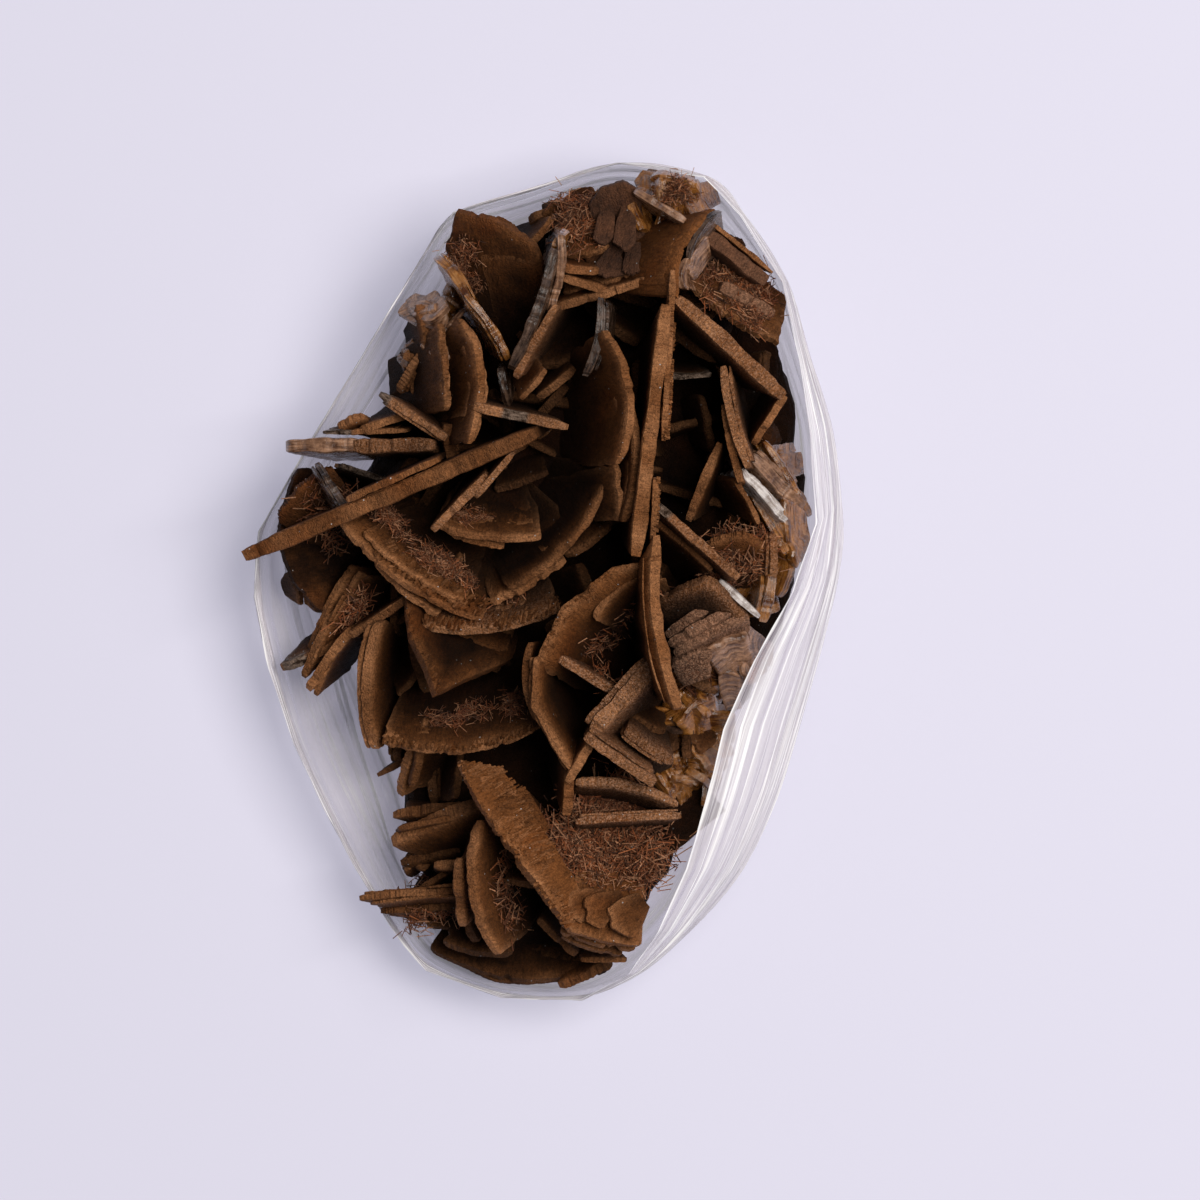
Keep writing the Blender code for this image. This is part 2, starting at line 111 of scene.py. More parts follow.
# %% Light and floor
SKY = "#e9ebf6"
SKY_STRENGTH = 0.22
SOFTBOX_COLOUR = "#fffaf4"
SOFTBOX_POWER = 12.4
SOFTBOX_SIZE = 0.6
SOFTBOX_AT = (0.40, 0.12, 0.96)
FLOOR_SIZE = 3.0
FLOOR_DROP = 0.2 * MM  # keeps the film's flat underside clear of the floor

world = bpy.data.worlds.new("studio")
scene.world = world
world.use_nodes = True
sky = world.node_tree.nodes["Background"]
sky.inputs["Color"].default_value = linear(SKY)
sky.inputs["Strength"].default_value = SKY_STRENGTH

lamp_data = bpy.data.lights.new("softbox", "AREA")
lamp_data.energy = SOFTBOX_POWER
lamp_data.size = SOFTBOX_SIZE
lamp_data.color = linear(SOFTBOX_COLOUR)[:3]
lamp = bpy.data.objects.new("softbox", lamp_data)
lamp.location = SOFTBOX_AT
lamp.rotation_euler = (-Vector(SOFTBOX_AT)).to_track_quat("-Z", "Y").to_euler()
scene.collection.objects.link(lamp)

bpy.ops.object.select_all(action="DESELECT")
bpy.ops.mesh.primitive_plane_add(size=FLOOR_SIZE, location=(0, 0, -FLOOR_DROP))
floor = bpy.context.object
floor.name = "floor"
bpy.ops.object.transform_apply(location=True)
# A light table: pale acrylic, lit a little from below, so that it is even and bright
acrylic, tree = new_material("matt lavender-white acrylic, lit from below")
shader = add_node(tree, "BsdfPrincipled",
                  {"Base Color": linear("#acabb6"), "Roughness": 0.9, "Specular IOR Level": 0.1,
                   "Emission Color": linear("#e9e6fb"), "Emission Strength": 0.37})
add_node(tree, "OutputMaterial", Surface=shader)
floor.data.materials.append(acrylic)
print("floor:", FLOOR_SIZE, "m across")

# %% [markdown]
# ## The brown coat
# Baryte is colourless. The brown is a film of fine iron oxide (limonite) that settled on it, and
# it looks like suede: matt, with a soft light edge. Light and shade are painted into its colour:
# the rims that face up are painted lighter and more orange, and the faces are painted darker down
# into the gaps. Fine combed grooves run down from each rim, where many thin plies end.
# A plain noise can't know where a rim is, so the mesh carries five values: `rim` is 1 at a blade's
# edge and sets the painted light there, `tone` changes from ply to ply, `bare` is 1 where the coat
# is broken off and grey-white baryte shows, `deep` grows down the face and sets the painted shade,
# and `dust` asks for loose pale grains.

# %% Material: iron-oxide coat
VALUES = ("rim", "tone", "bare", "deep", "dust")
COAT_GLOSS = 0.09
COAT_DUST = "#a27a60"
BARE_WHITE = "#8c7768"
BARE_GREY = "#2f2117"
# The colour of the painted glints
SPECK_GLINT = "#b9b2ae"


def coat_colour(tree, place, tone, deep, face, rust):
    """Clouds 4 mm across, from deep brown to the face's brown, with rust-red patches 9 mm across."""
    clouds = add_node(tree, "TexNoise", {"Scale": 1 / (4 * MM), "Detail": 4.0, "Roughness": 0.62},
                      Vector=place)
    shade = add_node(tree, "Math", {"operation": "MULTIPLY_ADD", 1: 1.5, 2: -0.52}, _0=clouds)
    lift = add_node(tree, "Math", {"operation": "MULTIPLY_ADD", 1: 0.55}, _0=tone, _2=shade)
    brown = add_node(tree, "Mix", {**BLEND, 6: linear(deep), 7: linear(face)}, Factor=lift)
    patches = add_node(tree, "TexNoise", {"Scale": 1 / (9 * MM), "Detail": 1.0}, Vector=place)
    patch = add_node(tree, "MapRange", {"From Min": 0.52, "From Max": 0.72, "To Max": 0.5}, Value=patches)
    return add_node(tree, "Mix", {**BLEND, 7: linear(rust)}, Factor=patch, _6=brown.outputs[2])


def coat_edges(tree, colour, sand, grain, rim, dust, edge):
    """Painted light on the upward rims, broken up by the grain, and dust in the hollows."""
    part = add_node(tree, "Math", {"operation": "MULTIPLY_ADD", 1: 0.85, "use_clamp": True}, _0=rim, _2=grain)
    gate = add_node(tree, "Math", {"operation": "MULTIPLY", "use_clamp": True}, _0=part, _1=rim)
    lit = add_node(tree, "Mix", {**BLEND, 7: linear(edge)}, Factor=gate, _6=colour.outputs[2])
    hollows = add_node(tree, "MapRange", {"From Min": 0.47, "From Max": 0.56, "To Max": 1.0}, Value=sand)
    fill = add_node(tree, "Math", {"operation": "MULTIPLY", "use_clamp": True}, _0=hollows, _1=dust)
    return add_node(tree, "Mix", {**BLEND, 7: linear(COAT_DUST)}, Factor=fill, _6=lit.outputs[2])


def coat_texture(tree, colour, place, combed, grit, dust):
    """Combed streaks, grains with a brightness of their own, and dark pits half a millimetre across."""
    groove = add_node(tree, "MapRange", {"From Min": 0.34, "From Max": 0.66, "To Min": 0.76, "To Max": 1.22},
                      Value=combed)
    streaked = add_node(tree, "Mix", TINT, _6=colour.outputs[2], _7=groove)
    each = add_node(tree, "SeparateColor", Color=grit.outputs["Color"])
    sandy = add_node(tree, "MapRange", {"To Min": 0.55, "To Max": 1.4}, Value=each)
    share = add_node(tree, "Math", {"operation": "MULTIPLY_ADD", 1: 0.5, 2: 0.5, "use_clamp": True}, _0=dust)
    grainy = add_node(tree, "Mix", TINT, Factor=share, _6=streaked.outputs[2], _7=sandy)
    pits = add_node(tree, "TexNoise", {"Scale": 1 / (0.55 * MM), "Detail": 1.0, "Roughness": 0.6},
                    Vector=place)
    pit = add_node(tree, "MapRange", {"From Min": 0.30, "From Max": 0.46, "To Min": 0.72, "To Max": 1.0},
                   Value=pits)
    return add_node(tree, "Mix", TINT, _6=grainy.outputs[2], _7=pit)


def coat_breaks(tree, colour, along, grain, bare):
    """Grey to white streaks where the coat is broken off. Returns the colour, and how bare each point is."""
    drawn = add_node(tree, "Mapping", {"Scale": (0.8, 1.7, 1.0)}, Vector=along)
    flaws = add_node(tree, "TexNoise", {"Scale": 1.0, "Detail": 4.0, "Roughness": 0.6}, Vector=drawn)
    flaw = add_node(tree, "MapRange", {"From Min": 0.38, "From Max": 0.64}, Value=flaws)
    crystal = add_node(tree, "Mix", {**BLEND, 6: linear(BARE_GREY), 7: linear(BARE_WHITE)}, Factor=flaw)
    part = add_node(tree, "Math", {"operation": "MULTIPLY_ADD", 1: 1.6}, _0=bare, _2=grain)
    gate = add_node(tree, "Math", {"operation": "MULTIPLY", "use_clamp": True}, _0=part, _1=bare)
    return add_node(tree, "Mix", BLEND, Factor=gate, _6=colour.outputs[2], _7=crystal.outputs[2]), gate


def coat_speck_glints(tree, colour, place):
    """Painted glints: light specks 0.2 mm across, about one to every 3 mm, for clean grains that catch the
    light.
    """
    cells = add_node(tree, "TexVoronoi", {"Scale": 1 / (0.62 * MM)}, Vector=place)
    near = add_node(tree, "Math", {"operation": "LESS_THAN", 1: 0.17}, _0=cells)
    each = add_node(tree, "SeparateColor", Color=cells.outputs["Color"])
    few = add_node(tree, "Math", {"operation": "GREATER_THAN", 1: 0.96}, _0=each)
    speck_glint = add_node(tree, "Math", {"operation": "MULTIPLY"}, _0=near, _1=few)
    return add_node(tree, "Mix", {**BLEND, 7: linear(SPECK_GLINT)}, Factor=speck_glint, _6=colour.outputs[2])


def coat_material(name, deep, face, edge, rust, gloss=COAT_GLOSS):
    """The coat: its layers of colour, with painted light on its rims and painted shade down its faces, then
    its grooves and grains, which are raised too.
    """
    material, tree = new_material(name)
    place = add_node(tree, "TexCoord").outputs["Object"]
    along = add_node(tree, "UVMap")  # in millimetres from the rim
    rim, tone, bare, painted_shade, dust = (add_node(tree, "Attribute", {"attribute_name": value}).outputs["Fac"]
                                   for value in VALUES)
    # Sand a quarter of a millimetre across, grooves drawn out down the face, grit a sixth across
    sand = add_node(tree, "TexNoise", {"Scale": 1 / (0.26 * MM), "Detail": 2.0, "Roughness": 0.7},
                    Vector=place)
    grain = add_node(tree, "Math", {"operation": "MULTIPLY_ADD", 1: 0.9, 2: -0.22}, _0=sand)
    drawn = add_node(tree, "Mapping", {"Scale": (2.7, 0.75, 1.0)}, Vector=along)
    combed = add_node(tree, "TexNoise", {"Scale": 1.0, "Detail": 2.0, "Roughness": 0.7}, Vector=drawn)
    grit = add_node(tree, "TexVoronoi", {"Scale": 1 / (0.17 * MM)}, Vector=place)
    colour = coat_colour(tree, place, tone, deep, face, rust)
    colour = coat_edges(tree, colour, sand, grain, rim, dust, edge)
    colour = coat_texture(tree, colour, place, combed, grit, dust)
    colour, gate = coat_breaks(tree, colour, along, grain, bare)
    colour = coat_speck_glints(tree, colour, place)
    # Painted shade: the colour grows darker down the face and down in the gaps, by the `deep` value
    fade = add_node(tree, "MapRange", {"To Min": 1.0, "To Max": 0.12}, Value=painted_shade)
    colour = add_node(tree, "Mix", TINT, _6=colour.outputs[2], _7=fade)
    grooves = add_node(tree, "Math", {"operation": "MULTIPLY_ADD", 1: 0.9}, _0=combed, _2=sand)
    height = add_node(tree, "Math", {"operation": "MULTIPLY_ADD", 1: -0.5}, _0=grit, _2=grooves)
    relief = add_node(tree, "Bump", {"Strength": 1.0, "Distance": 0.34 * MM}, Height=height)
    dull = add_node(tree, "MapRange", {"To Min": 0.68, "To Max": 0.3}, Value=gate)
    shader = add_node(tree, "BsdfPrincipled", {"Specular IOR Level": gloss},
                      Base_Color=colour.outputs[2], Roughness=dull, Normal=relief)
    add_node(tree, "OutputMaterial", Surface=shader)
    return material


# The third colour of each coat is the painted light that the `rim` value lays on upward rims
coat = coat_material("iron-oxide coat on baryte", "#301909", "#7a4a26", "#a3704a", "#68330f")
# On a few smooth crystals the coat is thin, and the grey baryte shows through it
thin_coat = coat_material("thin iron-oxide coat on grey baryte", "#2c190f", "#6e4730", "#9a7056", "#5a3218",
                          gloss=0.2)
print("the coat has", len(coat.node_tree.nodes), "nodes")

# %% [markdown]
# ## Clean baryte
# Where a blade is broken or never took the coat, it is glassy and slightly milky: grey at the
# top left, honey yellow at the right, where iron got into the crystal itself. Clear glass would
# show the dark gaps behind it, and the real crystals are full of flaws, so a little transmission
# is laid over streaks of colour. Baryte's index of refraction is 1.64.

# %% Material: clean baryte
BARYTE_IOR = 1.64
FLAW_WHITE = "#cfc4bb"


def clean_material(name, thin, thick, clear, rough, flawed, flaw_colour=FLAW_WHITE, shine=0.22):
    """Glassy baryte: streaks along the blade between two colours, white flaws, a little see-through."""
    material, tree = new_material(name)
    place = add_node(tree, "TexCoord").outputs["Object"]
    # Clouds 1.8 mm across, and streaks 3 mm long and half a millimetre wide
    cloud = add_node(tree, "TexNoise", {"Scale": 1 / (1.8 * MM), "Detail": 5.0, "Roughness": 0.65},
                     Vector=place)
    drawn = add_node(tree, "Mapping", {"Scale": (0.3, 2.2, 1.0)}, Vector=add_node(tree, "UVMap"))
    streak = add_node(tree, "TexNoise", {"Scale": 1.0, "Detail": 4.0, "Roughness": 0.6}, Vector=drawn)
    both = add_node(tree, "Math", {"operation": "ADD"}, _0=cloud, _1=streak)
    spread = add_node(tree, "MapRange", {"From Min": 0.84, "From Max": 1.18}, Value=both)
    body = add_node(tree, "Mix", {**BLEND, 6: linear(thick), 7: linear(thin)}, Factor=spread)
    flaw = add_node(tree, "MapRange", {"From Min": 1.18, "From Max": 1.3, "To Max": flawed}, Value=both)
    colour = add_node(tree, "Mix", {**BLEND, 7: linear(flaw_colour)}, Factor=flaw, _6=body.outputs[2])
    relief = add_node(tree, "Bump", {"Strength": 0.6, "Distance": 0.3 * MM}, Height=both)
    dull = add_node(tree, "MapRange",
                    {"From Min": 0.35, "From Max": 0.65, "To Min": rough, "To Max": rough + 0.3}, Value=cloud)
    shader = add_node(tree, "BsdfPrincipled",
                      {"IOR": BARYTE_IOR, "Transmission Weight": clear, "Specular IOR Level": shine},
                      Base_Color=colour.outputs[2], Roughness=dull, Normal=relief)
    add_node(tree, "OutputMaterial", Surface=shader)
    return material


FINISH = {
    "coat": coat,
    "thin": thin_coat,
    "grey": clean_material("grey translucent baryte", "#5c4638", "#1b100a", 0.18, 0.07, 0.14, "#c9b4a8",
                           shine=0.14),
    "white": clean_material("white broken baryte", "#ddd5d1", "#8a7a70", 0.2, 0.1, 0.7),
    "honey": clean_material("honey-coloured baryte", "#a26a30", "#4a2408", 0.25, 0.06, 0.3, "#cfa673",
                            shine=0.3),
    "milky": clean_material("milky beige baryte", "#a0785c", "#4a2f20", 0.15, 0.1, 0.4, "#cfb7a4",
                            shine=0.12),
}
GLASSY = ("grey", "white", "honey", "milky")
print("finishes:", ", ".join(FINISH))

# %% [markdown]
# ## Moving the points of a mesh
# Every crystal is cut differently, so its points are set from arrays of numbers. These few
# helpers pass points, values and the UV map to a mesh. A copied piece always gets a mesh of its
# own, because its points move.

# %% Points, values and copies
def add_values(mesh):
    """Gives a mesh the five values that the coat reads, all zero."""
    for value in VALUES:
        mesh.attributes.new(value, "FLOAT", "POINT")


def set_value(mesh, value, level):
    """Sets one of the values, to one number or to one for each point."""
    levels = np.full(len(mesh.vertices), level, dtype=np.float32)
    mesh.attributes[value].data.foreach_set("value", levels)


def set_points(mesh, points):
    """Moves a mesh's points to these places, in mm."""
    mesh.vertices.foreach_set("co", (points * MM).ravel())


def set_uv(mesh, uv):
    """Sets the UV map, one row for each face corner."""
    mesh.uv_layers[0].data.foreach_set("uv", uv.astype(np.float32).ravel())


def mesh_data(mesh):
    """A mesh's points as three columns, and which point each face corner uses."""
    points = np.empty(len(mesh.vertices) * 3)
    mesh.vertices.foreach_get("co", points)
    corners = np.empty(len(mesh.loops), dtype=int)
    mesh.loops.foreach_get("vertex_index", corners)
    return points.reshape(-1, 3), corners


def copy_of(original):
    """A copy in the scene with its own mesh."""
    part = original.copy()
    part.data = original.data.copy()
    scene.collection.objects.link(part)
    return part


print("values at each point:", ", ".join(VALUES))

# %% [markdown]
# ## One ply, and the crystals made from it
# A baryte blade is a stack of thin plies. On the real one each ply ends a little lower than the
# next, which gives the rims their ledges. So one flat ply is modelled: a grid with one
# side extruded, so that it is closed. Each ply of each crystal is then a copy of it whose points
# are moved to the crystal's outline: bowed along the top, drawn in to a keel below, thinner at
# the rim, and ragged along the break.

# %% The ply template
PLY_SIZES = {"tiny": (14, 6), "small": (30, 12), "middle": (60, 16), "large": (104, 20)}


def ply_template(name, across, down):
    """A closed flat ply, one unit square and one thick, made from a grid by one extrusion."""
    bpy.ops.object.select_all(action="DESELECT")
    bpy.ops.mesh.primitive_grid_add(x_subdivisions=across, y_subdivisions=down, size=1,
                                    location=(0.5, 0.5, -0.5))
    template = bpy.context.object
    template.name = "ply_" + name
    bpy.ops.object.transform_apply(location=True)
    bpy.ops.object.mode_set(mode="EDIT")
    bpy.ops.mesh.select_all(action="SELECT")
    bpy.ops.mesh.extrude_region_move(TRANSFORM_OT_translate={"value": (0, 0, 1)})
    bpy.ops.mesh.select_all(action="SELECT")
    bpy.ops.mesh.normals_make_consistent(inside=False)
    bpy.ops.object.mode_set(mode="OBJECT")
    bpy.ops.object.shade_smooth()
    add_values(template.data)
    return template


templates = {name: ply_template(name, *size) for name, size in PLY_SIZES.items()}
template_data = {name: mesh_data(template.data) for name, template in templates.items()}
for name, template in templates.items():
    print(name, "ply:", len(template.data.polygons), "faces")

# %% The shape of a crystal
STRAIGHT = 0.6  # mm of bow under which an edge counts as straight
LOOKS = {
    "kind": "coat",  # its finish
    "tone": 0.5, "dust": 0.0,  # two of the coat's values; a low tone is partly painted shade, on blades that face away from the light
    "edge": 1.0,  # how strong the painted light on the rim is
    "fade": 9.5,  # mm down the face where the painted shade is darkest
    "dark": 0.0,  # how much painted shade it has at the rim already
    "plies": 0,  # 0 is one for a thin blade and two for a thick one
    "ledges": 1,  # small plies on the face of a long blade
    "bevel": 0.0, "under": 0.0,  # mm that the rim is thinned over, above and below. 0 goes by the thickness
    "corner": 0.5,  # mm that the ends of the edge are worn down
    "ragged": 0.14,  # mm that the edge's breaks stand up and down
    "curl": 0.0,  # mm that the face is hollowed
    "bend": (),  # the same at places along the blade: (share, mm)
    "knees": (),  # corners of the edge: (share along, mm over the ends)
    "bare": (),  # runs of the edge with the coat broken off: (share from, to)
    "combs": (),  # rows of teeth: (share along from, to, share down from, to, how many, mm long, flared)
    "mats": (),  # needle mats: the same without the length, and then how large the tufts are
    "plain": False,  # a coarser mesh, for the gaps
}


class Blade:
    """One crystal: where its upper edge runs, and how the blade goes down from it. Sizes in mm."""

    def __init__(self, start, end, bow=0.0, lean=0.0, depth=15.0, thick=1.5, keel=0.0, **looks):
        self.__dict__.update(LOOKS | looks)
        self.start, self.end = np.array(start, float), np.array(end, float)
        self.bow, self.depth, self.thick, self.keel = bow, depth, thick, keel
        self.square = abs(bow) < STRAIGHT and not self.knees
        self.plies = self.plies or (1 if thick < 1.5 else 2)
        self.bevel = self.bevel or (0.14 if self.square else 0.28) * thick
        self.under = self.under or 0.14 * thick
        self.bend = np.array([(0, 0), *self.bend, (1, 0)], float)
        self.length = float(np.linalg.norm(self.end - self.start))
        self.along = (self.end - self.start) / self.length
        left = np.array([-self.along[1], self.along[0], 0])
        left /= np.linalg.norm(left)
        lean = math.radians(lean)
        down = math.cos(lean) * np.array([0, 0, -1.0]) + math.sin(lean) * left
        down -= self.along * down.dot(self.along)
        self.down = down / np.linalg.norm(down)
        self.out = np.cross(self.along, self.down)
        self.up_side = 1 if lean >= 0 else -1

    def draw_crest(self, pick):
        """Sets the upper edge as straight runs between knees: (share along, height over the ends)."""
        if self.knees:
            self.crest = np.array([(0, 0), *self.knees, (1, 0)], float)
            return
        count = max(2, round(self.length / 5.0)) if abs(self.bow) > 0.55 else 2
        shares = np.linspace(0, 1, count + 1)
        shares[1:-1] += pick.uniform(-0.25, 0.25, count - 1) / count
        rise = self.bow * (1 - (2 * shares - 1) ** 2)
        rise[1:-1] += pick.uniform(-0.12, 0.12, count - 1) * max(0.6, abs(self.bow))
        self.crest = np.column_stack([shares, rise])

    def top(self, s):
        """How far the edge is below the line between its ends, at shares s along."""
        return -np.interp(s, self.crest[:, 0], self.crest[:, 1])

    def sides(self, t):
        """How far along the sides are, as shares of the length, at depth share t."""
        middle = 0.5 + 0.32 * self.keel
        if self.square:
            low = (max(0.04, middle - 0.36), min(0.96, middle + 0.36))
            return low[0] * t, 1 - (1 - low[1]) * t
        low = (middle - 0.24, middle + 0.24)
        under = 0.25 + 0.35 * abs(self.keel)
        left = np.interp(t, [0, 0.5, 1], [0, under * low[0], low[0]])
        right = np.interp(t, [0, 0.5, 1], [1, 1 - under * (1 - low[1]), low[1]])
        return left, right

    def place(self, s, t, w, top):
        """Points from shares along and down, and a distance out of the face. Also how far along and down."""
        left, right = self.sides(t)
        x = self.length * (left + (right - left) * s)
        swell = self.curl * (1 - (2 * s - 1) ** 2) + np.interp(s, self.bend[:, 0], self.bend[:, 1])
        y = top + (self.depth - top) * t
        out = w - swell * (1 - 0.5 * t)
        flat = self.start + np.outer(x, self.along) + np.outer(y, self.down)
        return flat + np.outer(out, self.out), x, y


print("a crystal has", len(LOOKS), "looks beside its shape")


# %% Broken edges and swellings
STEP_LONG = (1.4, 6.5)  # mm
STEPS = 60  # enough for any edge
CHIP_EVERY = 5.5  # mm
CHIP_HALF = (0.2, 0.9)  # mm of half its width
CHIP_DEEP = (0.15, 0.6)  # mm


def broken_line(run, pick, coarse, fine):
    """Heights along a broken edge: long slants and steps, chips broken out, and fine teeth."""
    stops = np.cumsum(pick.uniform(*STEP_LONG, STEPS))
    levels = pick.uniform(-1, 1, STEPS + 1) * coarse
    stepped = levels[np.searchsorted(stops, run)]
    gentle = np.interp(run, np.concatenate([[0], stops]), levels)
    chips = np.zeros_like(run)
    for _ in range(pick.poisson(run[-1] / CHIP_EVERY)):
        middle, half = pick.uniform(0, run[-1]), pick.uniform(*CHIP_HALF)
        chip = pick.uniform(*CHIP_DEEP) * np.clip(1.4 - np.abs(run - middle) / half, 0, 1)
        chips = np.maximum(chips, chip)
    return 0.35 * stepped + 0.65 * gentle + chips + pick.uniform(-1, 1, len(run)) * fine


def wave(a, b, pick, size):
    """A gentle random swell over two directions, from -1 to 1, with hills about this size in mm."""
    total = np.zeros_like(a)
    for _ in range(4):
        angle, phase = pick.uniform(0, math.tau), pick.uniform(0, math.tau)
        pitch = math.tau / (size * pick.uniform(0.7, 1.6))
        total += np.sin((a * math.cos(angle) + b * math.sin(angle)) * pitch + phase)
    return total / 4


sample = broken_line(np.linspace(0, 20, 100), np.random.default_rng(1), 0.14, 0.04)
print("a sample edge is broken", round(float(np.ptp(sample)), 2), "mm up and down")

# %% One ply of a crystal
SIDE_REACH = 1.6  # mm inwards that the breaks of a side reach
RIM_CUT, RIM_SQUARE, RIM_UP, RIM_DOWN = 0.1, 0.86, 0.62, 0.7  # shares of the thickness left at the rim
RIM_FADE = 1.1  # mm down that the painted light of the rim fades over
BARE_FADE = 0.8
FACE_SWELL, SWELL_SIZE = 0.10, 11.0  # mm
UV_SHIFT = 37.0  # mm between the patterns of two plies
ply_numbers = itertools.count(1)


def make_ply(blade, pick, crest, share, offset, drop, inset, is_main):
    """One ply of a crystal, as a copy of the template with its points moved."""
    size = ("tiny" if blade.length < 5.4 and blade.depth < 8 else "small" if blade.length < 9 or blade.plain
            else "middle" if blade.length < 19 else "large")
    points, corners = template_data[size]
    ply = copy_of(templates[size])
    mesh = ply.data
    # The upper edge, from shares along (s) and down (t). The rows of points lie closer near the rim.
    s0, side = points[:, 0], points[:, 2]
    t = np.clip(1 - points[:, 1], 0, 1) ** 1.6
    s = inset[0] + s0 * (1 - inset[0] - inset[1])
    run = np.linspace(0, 1, PLY_SIZES[size][0] + 1)
    teeth = blade.ragged * (0.3 if blade.kind in ("coat", "thin") else 0.05)
    edge = broken_line(run * blade.length, pick, blade.ragged, teeth)
    ends = blade.corner * (np.exp(-run * blade.length / 0.5) + np.exp(-(1 - run) * blade.length / 0.5))
    top = np.interp(s0, run, edge + ends + drop) - np.interp(s, crest[:, 0], crest[:, 1])
    # The sides are broken too, less so than the upper edge
    side_run = np.linspace(0, 1, 40)
    for near, inwards in ((s0, 1), (1 - s0, -1)):
        jag = broken_line(side_run * blade.depth, pick, blade.ragged * 0.8, blade.ragged * 0.2) / blade.length
        s = s + inwards * np.interp(t, side_run, jag) * np.exp(-near * blade.length / SIDE_REACH)
    # Thinner at the rim, above and below, and swelling a little
    thick = share * blade.thick
    inner = np.minimum(t * (blade.depth - top), np.minimum(s0, 1 - s0) * blade.length + 0.05)
    bevel, under = (blade.bevel, blade.under) if is_main else (0.25 * thick, 0.25 * thick)
    rim_up = RIM_CUT if bevel > 0.8 * thick else RIM_SQUARE if blade.square else RIM_UP
    rim_down = RIM_CUT if under > 0.8 * thick else RIM_SQUARE if blade.square else RIM_DOWN
    thick = thick * (1 + 0.16 * wave(s * blade.length, 0 * s, pick, 5.0) - 0.3 * np.abs(2 * s0 - 1) ** 9)
    profile = np.where(np.sign(side) == blade.up_side, rim_up + (1 - rim_up) * np.clip(inner / bevel, 0, 1),
                       rim_down + (1 - rim_down) * np.clip(inner / under, 0, 1))
    swell = FACE_SWELL * wave(s * blade.length, t * blade.depth, pick, SWELL_SIZE)
    placed, x, y = blade.place(s, t, offset + side * thick * profile + swell, top)
    set_points(mesh, placed)
    # The values that the coat reads: `rim` lays painted light along the rim, and `deep` painted shade down
    # the face
    stops = np.linspace(0, 1, max(3, round(blade.length / 2.5)))
    glow = np.interp(s0, stops, pick.uniform(0.3, 1.0, len(stops)))
    deep = np.clip(t * (blade.depth - top) / blade.fade, 0, 1)
    deep = deep ** 1.35 * (1.9 - 0.9 * deep)
    bare = np.zeros_like(s)
    for low, high in blade.bare:
        inside = np.clip((s - low) * 12, 0, 1) * np.clip((high - s) * 12, 0, 1)
        bare = np.maximum(bare, inside * np.exp(-np.maximum(inner - 0.4, 0) / BARE_FADE))
    set_value(mesh, "rim", blade.edge * glow * np.exp(-np.maximum(inner - 0.2, 0) / RIM_FADE))
    set_value(mesh, "tone", blade.tone + pick.uniform(-0.15, 0.15))
    set_value(mesh, "bare", bare)
    set_value(mesh, "deep", blade.dark + (1 - blade.dark) * np.clip(deep, 0, 1))
    set_value(mesh, "dust", blade.dust)
    uv = np.column_stack([x, y - top + side * blade.thick])
    set_uv(mesh, uv[corners] + next(ply_numbers) * UV_SHIFT)
    return ply


print("ply meshes:", {name: len(points) for name, (points, _) in template_data.items()}, "points")

# %% [markdown]
# ## Comb teeth
# Along some broken rims the plies end in short splinters, side by side like the teeth of a comb.
# One tooth is a bar with five sides. Copies of it lie down the blade's upper face, or stand out
# from its other face.

# %% One comb tooth
TOOTH_THICK = 0.36  # mm

bpy.ops.object.select_all(action="DESELECT")
bpy.ops.mesh.primitive_cylinder_add(vertices=5, radius=0.5, depth=1)
tooth = bpy.context.object
add_values(tooth.data)
print("tooth:", len(tooth.data.polygons), "faces")


def make_comb(blade, pick, s0, s1, t0, t1, count, long, flare=0):
    """Teeth side by side on a blade: down its upper face or, with flare, out from its other face."""
    side = -blade.up_side if flare else blade.up_side
    s, t = pick.uniform(s0, s1, count), pick.uniform(t0, t1, count)
    rim = RIM_CUT if blade.bevel > 0.8 * blade.thick else RIM_UP
    cut = rim + (1 - rim) * np.clip(t * blade.depth / blade.bevel, 0, 1)
    spots, _, _ = blade.place(s, t, side * 0.5 * blade.thick * cut, blade.top(s))
    made = []
    for spot, share in zip(spots, t):
        way = blade.out * side if flare else blade.down
        way = way + blade.along * pick.normal(0.25, 0.2) + blade.out * side * pick.uniform(0, 0.12)
        lay = Vector(way).to_track_quat("Z", "Y").to_matrix().to_4x4()
        wide = TOOTH_THICK * pick.uniform(0.6, 1.2)
        size = Matrix.Diagonal((wide * MM, wide * MM, long * pick.uniform(0.6, 1.2) * MM, 1))
        part = copy_of(tooth)
        part.data.transform(Matrix.Translation(Vector(spot) * MM) @ lay @ size)
        set_value(part.data, "tone", blade.tone + pick.uniform(-0.4, 0.3))
        # Each tooth gets a random share of painted rim light, and painted shade by how far down the face it
        # sits
        set_value(part.data, "rim", blade.edge * pick.uniform(0, 0.8))
        set_value(part.data, "deep", blade.dark + (1 - blade.dark) * min(1, share * blade.depth / blade.fade))
        set_uv(part.data, np.tile(pick.uniform(0, 900, 2), len(part.data.loops)))
        made.append(part)
    return made

# %% [markdown]
# ## A whole crystal
# A thin blade is one ply, and a thick one has a thinner ply beside the main one. A long coated
# blade also has a small ply or two on its face, as ledges. Each crystal draws from a seed of its
# own, so that a change to one leaves the shapes of the others as they are.

# %% A whole crystal
PLY_SHARES = {1: [1.0], 2: [0.72, 0.28], 3: [0.2, 0.56, 0.24]}  # of the thickness
OVERLAP = 1.04  # each ply is this much thicker, so that no gap shows between two
LEDGE_OVER = 11  # mm of length from which a crystal has ledges
REGIONS = {}


